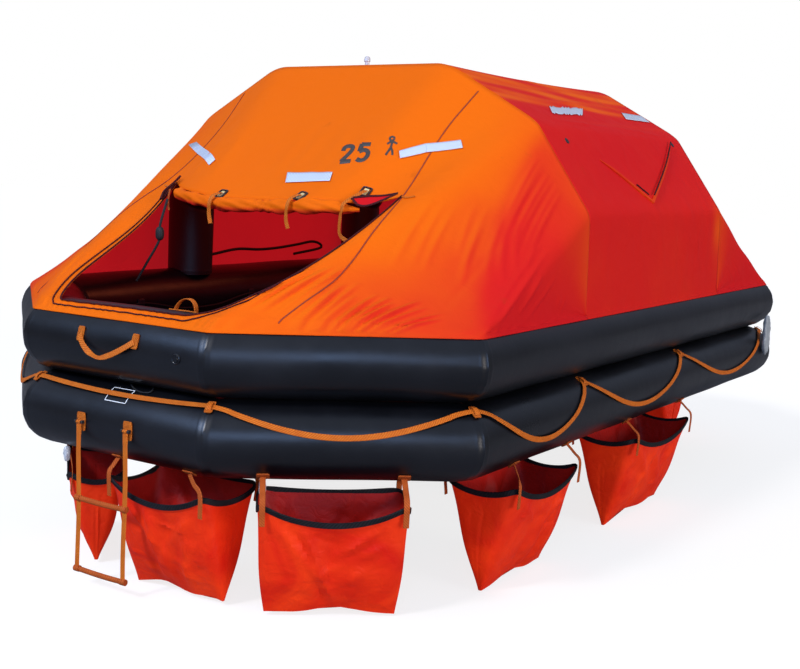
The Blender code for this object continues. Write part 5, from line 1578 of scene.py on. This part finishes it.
def make_valves_and_tow_ring():
    """Relief valves as ribbed discs, the towing ring on its patch, and the cloth cover."""
    for name, side in (("relief_valve_front", -1), ("relief_valve_rear", 1)):
        low, high = (np.array(corner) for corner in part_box(name))
        seat = (low + high) / 2
        seat[0] = side * OUTER_X
        disc = [
            (0.022, 0.0005),
            (0.0225, 0.004),
            (0.019, 0.0075),
            (0.017, 0.0060),
            (0.014, 0.0060),
            (0.013, 0.0085),
            (0.004, 0.0085),
        ]
        add_piece("ribbed_" + name, [turned(disc, seat, (side, 0, 0), 36)], [RUBBER], [name])
    low, high = (np.array(corner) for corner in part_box("tow_patch"))
    seat = np.array((OUTER_X + 0.0034, (low[1] + high[1]) / 2, UPPER_Z))
    plate = soft_block((0.006, 0.120, 0.090), seat, np.eye(3), power=10)
    turn = np.linspace(0, math.pi, 25)
    bow = np.stack(
        [OUTER_X + 0.005 + 0.034 * np.sin(turn), seat[1] + 0.030 * np.cos(turn), UPPER_Z + 0 * turn], axis=1
    )
    ring = swept(bow, (0, 0, 1), round_profile(0.005), slot=1)
    add_piece("tow_ring", [plate, ring], [RUBBER, STEEL], ["tow_patch"])
    low, high = (np.array(corner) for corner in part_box("valve_cover"))
    ball = superball(40, 64, 3.2, 0.03)
    crumple = 0.10 * np.sin(7 * ball[..., 0] + 9 * ball[..., 2]) + 0.07 * np.sin(
        15 * ball[..., 2] - 6 * ball[..., 0] + 2
    )
    grid = (low + high) / 2 + ball * (high - low) / 2 * (0.96 + crumple[..., None] * (0.5, 1.0, 0.35))
    add_piece("cloth_cover", [grid_shape(grid, around=True)], [COVER], ["valve_cover"])


# The camera, the lights and the floor


CAMERA_PLACE = (-6.3506, -3.7795, 1.2530)
FOCAL_PIXELS, PRINCIPAL = 1203.5, (362.218, 298.015)
HEADING, PITCH, ROLL = 0.602, 0.105, 0.036
PHOTO_SIZE = (800, 669)
STAGE_Z = -0.62


def make_camera():
    """The camera stands where the photograph was taken from, with its focal length and centre."""
    forward = np.array(
        (math.cos(HEADING) * math.cos(PITCH), math.sin(HEADING) * math.cos(PITCH), -math.sin(PITCH))
    )
    level = np.array((math.sin(HEADING), -math.cos(HEADING), 0.0))
    upward = np.cross(level, forward)
    right = level * math.cos(ROLL) + upward * math.sin(ROLL)
    up = -level * math.sin(ROLL) + upward * math.cos(ROLL)
    data = bpy.data.cameras.new("photo_camera")
    camera = bpy.data.objects.new("photo_camera", data)
    bpy.context.scene.collection.objects.link(camera)
    turn = Matrix([right, up, -forward]).transposed().to_4x4()
    camera.matrix_world = Matrix.Translation(CAMERA_PLACE) @ turn
    data.sensor_width = 36.0
    data.lens = FOCAL_PIXELS * data.sensor_width / PHOTO_SIZE[0]
    data.shift_x = (PHOTO_SIZE[0] / 2 - PRINCIPAL[0]) / PHOTO_SIZE[0]
    data.shift_y = (PRINCIPAL[1] - PHOTO_SIZE[1] / 2) / PHOTO_SIZE[0]
    bpy.context.scene.camera = camera


def add_light(name, kind, place, target, energy, colour="#FFFFFF", size=2.0, angle=0.3):
    data = bpy.data.lights.new(name, kind)
    data.energy = energy
    data.color = linear(colour)[:3]
    if kind == "SUN":
        data.angle = angle
    else:
        data.shape = "RECTANGLE"
        data.size, data.size_y = size, size * 0.6
    light = bpy.data.objects.new(name, data)
    bpy.context.scene.collection.objects.link(light)
    aim = np.array(target, float) - np.array(place, float)
    light.location = place
    light.rotation_mode = "QUATERNION"
    light.rotation_quaternion = Vector(aim).to_track_quat("-Z", "Y")


def make_lights():
    """A soft key from the front and above, a fill from port, two bluish boxes ahead, a lamp inside
    for the daylight that falls through the canopy, and a sky that is palest overhead and shows
    white to the camera."""
    add_light("key", "SUN", (-6.0, 1.2, 5.5), (0, 0, 0.5), 1.68, "#FFFAF4", angle=0.16)
    add_light("fill", "SUN", (-0.6, -6.0, 1.0), (0, 0, 0.5), 2.42, "#FFF8F4", angle=0.5)
    add_light("softbox", "AREA", (-7.5, 2.0, 4.0), (-1.5, 0, 0.4), 260, "#8FB6F2", size=3.6)
    add_light("side_box", "AREA", (-8.5, -5.5, 2.6), (-1.5, -0.8, 0.3), 200, "#9DBEF5", size=4.0)
    add_light("through_canopy", "AREA", (0.0, 0.0, 1.55), (0, 0, 0), 6, "#FF7A50", size=1.4)
    world = bpy.data.worlds.new("studio")
    bpy.context.scene.world = world
    world.use_nodes = True
    tree = world.node_tree
    sky = tree.nodes["Background"]
    height = add_node(tree, "SeparateXYZ", {0: add_node(tree, "TexCoord").outputs["Generated"]}).outputs["Z"]
    lift = add_node(
        tree, "MapRange", {0: height, 1: -0.1, 2: 0.9}, interpolation_type="SMOOTHSTEP"
    ).outputs[0]
    shade = add_node(
        tree, "Mix", {0: lift, 6: linear("#5A5A62"), 7: linear("#A6B4D0")}, data_type="RGBA"
    ).outputs[2]
    seen = add_node(tree, "LightPath").outputs["Is Camera Ray"]
    colour = add_node(tree, "Mix", {0: seen, 6: shade, 7: (1.0, 1.0, 1.0, 1.0)}, data_type="RGBA").outputs[2]
    tree.links.new(colour, sky.inputs["Color"])
    sky.inputs["Strength"].default_value = 1.0


def make_stage():
    """A pale floor just below the water pockets, which hang free in the photograph."""
    half = 60.0
    corners = np.array(
        [[(-half, -half, STAGE_Z), (half, -half, STAGE_Z)], [(-half, half, STAGE_Z), (half, half, STAGE_Z)]]
    )
    mesh = bpy.data.meshes.new("studio_floor")
    mesh.from_pydata(corners.reshape(-1, 3).tolist(), [], [(0, 1, 3, 2)])
    material, tree, shader = new_material("studio_floor", Roughness=0.9, Specular_IOR_Level=0.1)
    shader.inputs["Emission Color"].default_value = (1.0, 1.0, 1.0, 1.0)
    seen = add_node(tree, "LightPath").outputs["Is Camera Ray"]
    glow = add_node(tree, "MapRange", {0: seen, 3: 0.02, 4: 0.80}).outputs[0]
    connect(tree, shader, seen, "#808084", "#8C8C8C")
    tree.links.new(glow, shader.inputs["Emission Strength"])
    mesh.materials.append(material)
    floor = bpy.data.objects.new("studio_floor", mesh)
    bpy.context.scene.collection.objects.link(floor)


make_camera()
make_lights()
make_stage()
bpy.context.scene.view_settings.view_transform = "Standard"

make_buoyancy_tubes()
make_arches()
make_floor()
make_end_cloths()
make_roof_cloth()
for end_piece in (
    make_door_roll,
    make_door_ties,
    make_door_zips,
    make_corner_ties,
    make_end_markings,
    make_end_seams,
):
    for end_name, end_turn, end_seed in ENDS:
        end_piece(end_name, end_turn, end_seed)
make_gutters()
make_roof_marks()
make_label()
make_cabin_cords()
make_pockets()
for end_name, end_side in (("front", -1), ("rear", 1)):
    make_ladder(end_name, end_side)
    make_ladder_patches(end_name, end_side)
    make_grab_handle(end_name, end_side)
    make_sill_loop(end_name, end_side)
make_outer_lifeline()
make_inner_lifeline()
make_righting_straps()
make_gas_cylinder()
make_lights_and_cells()
make_valves_and_tow_ring()
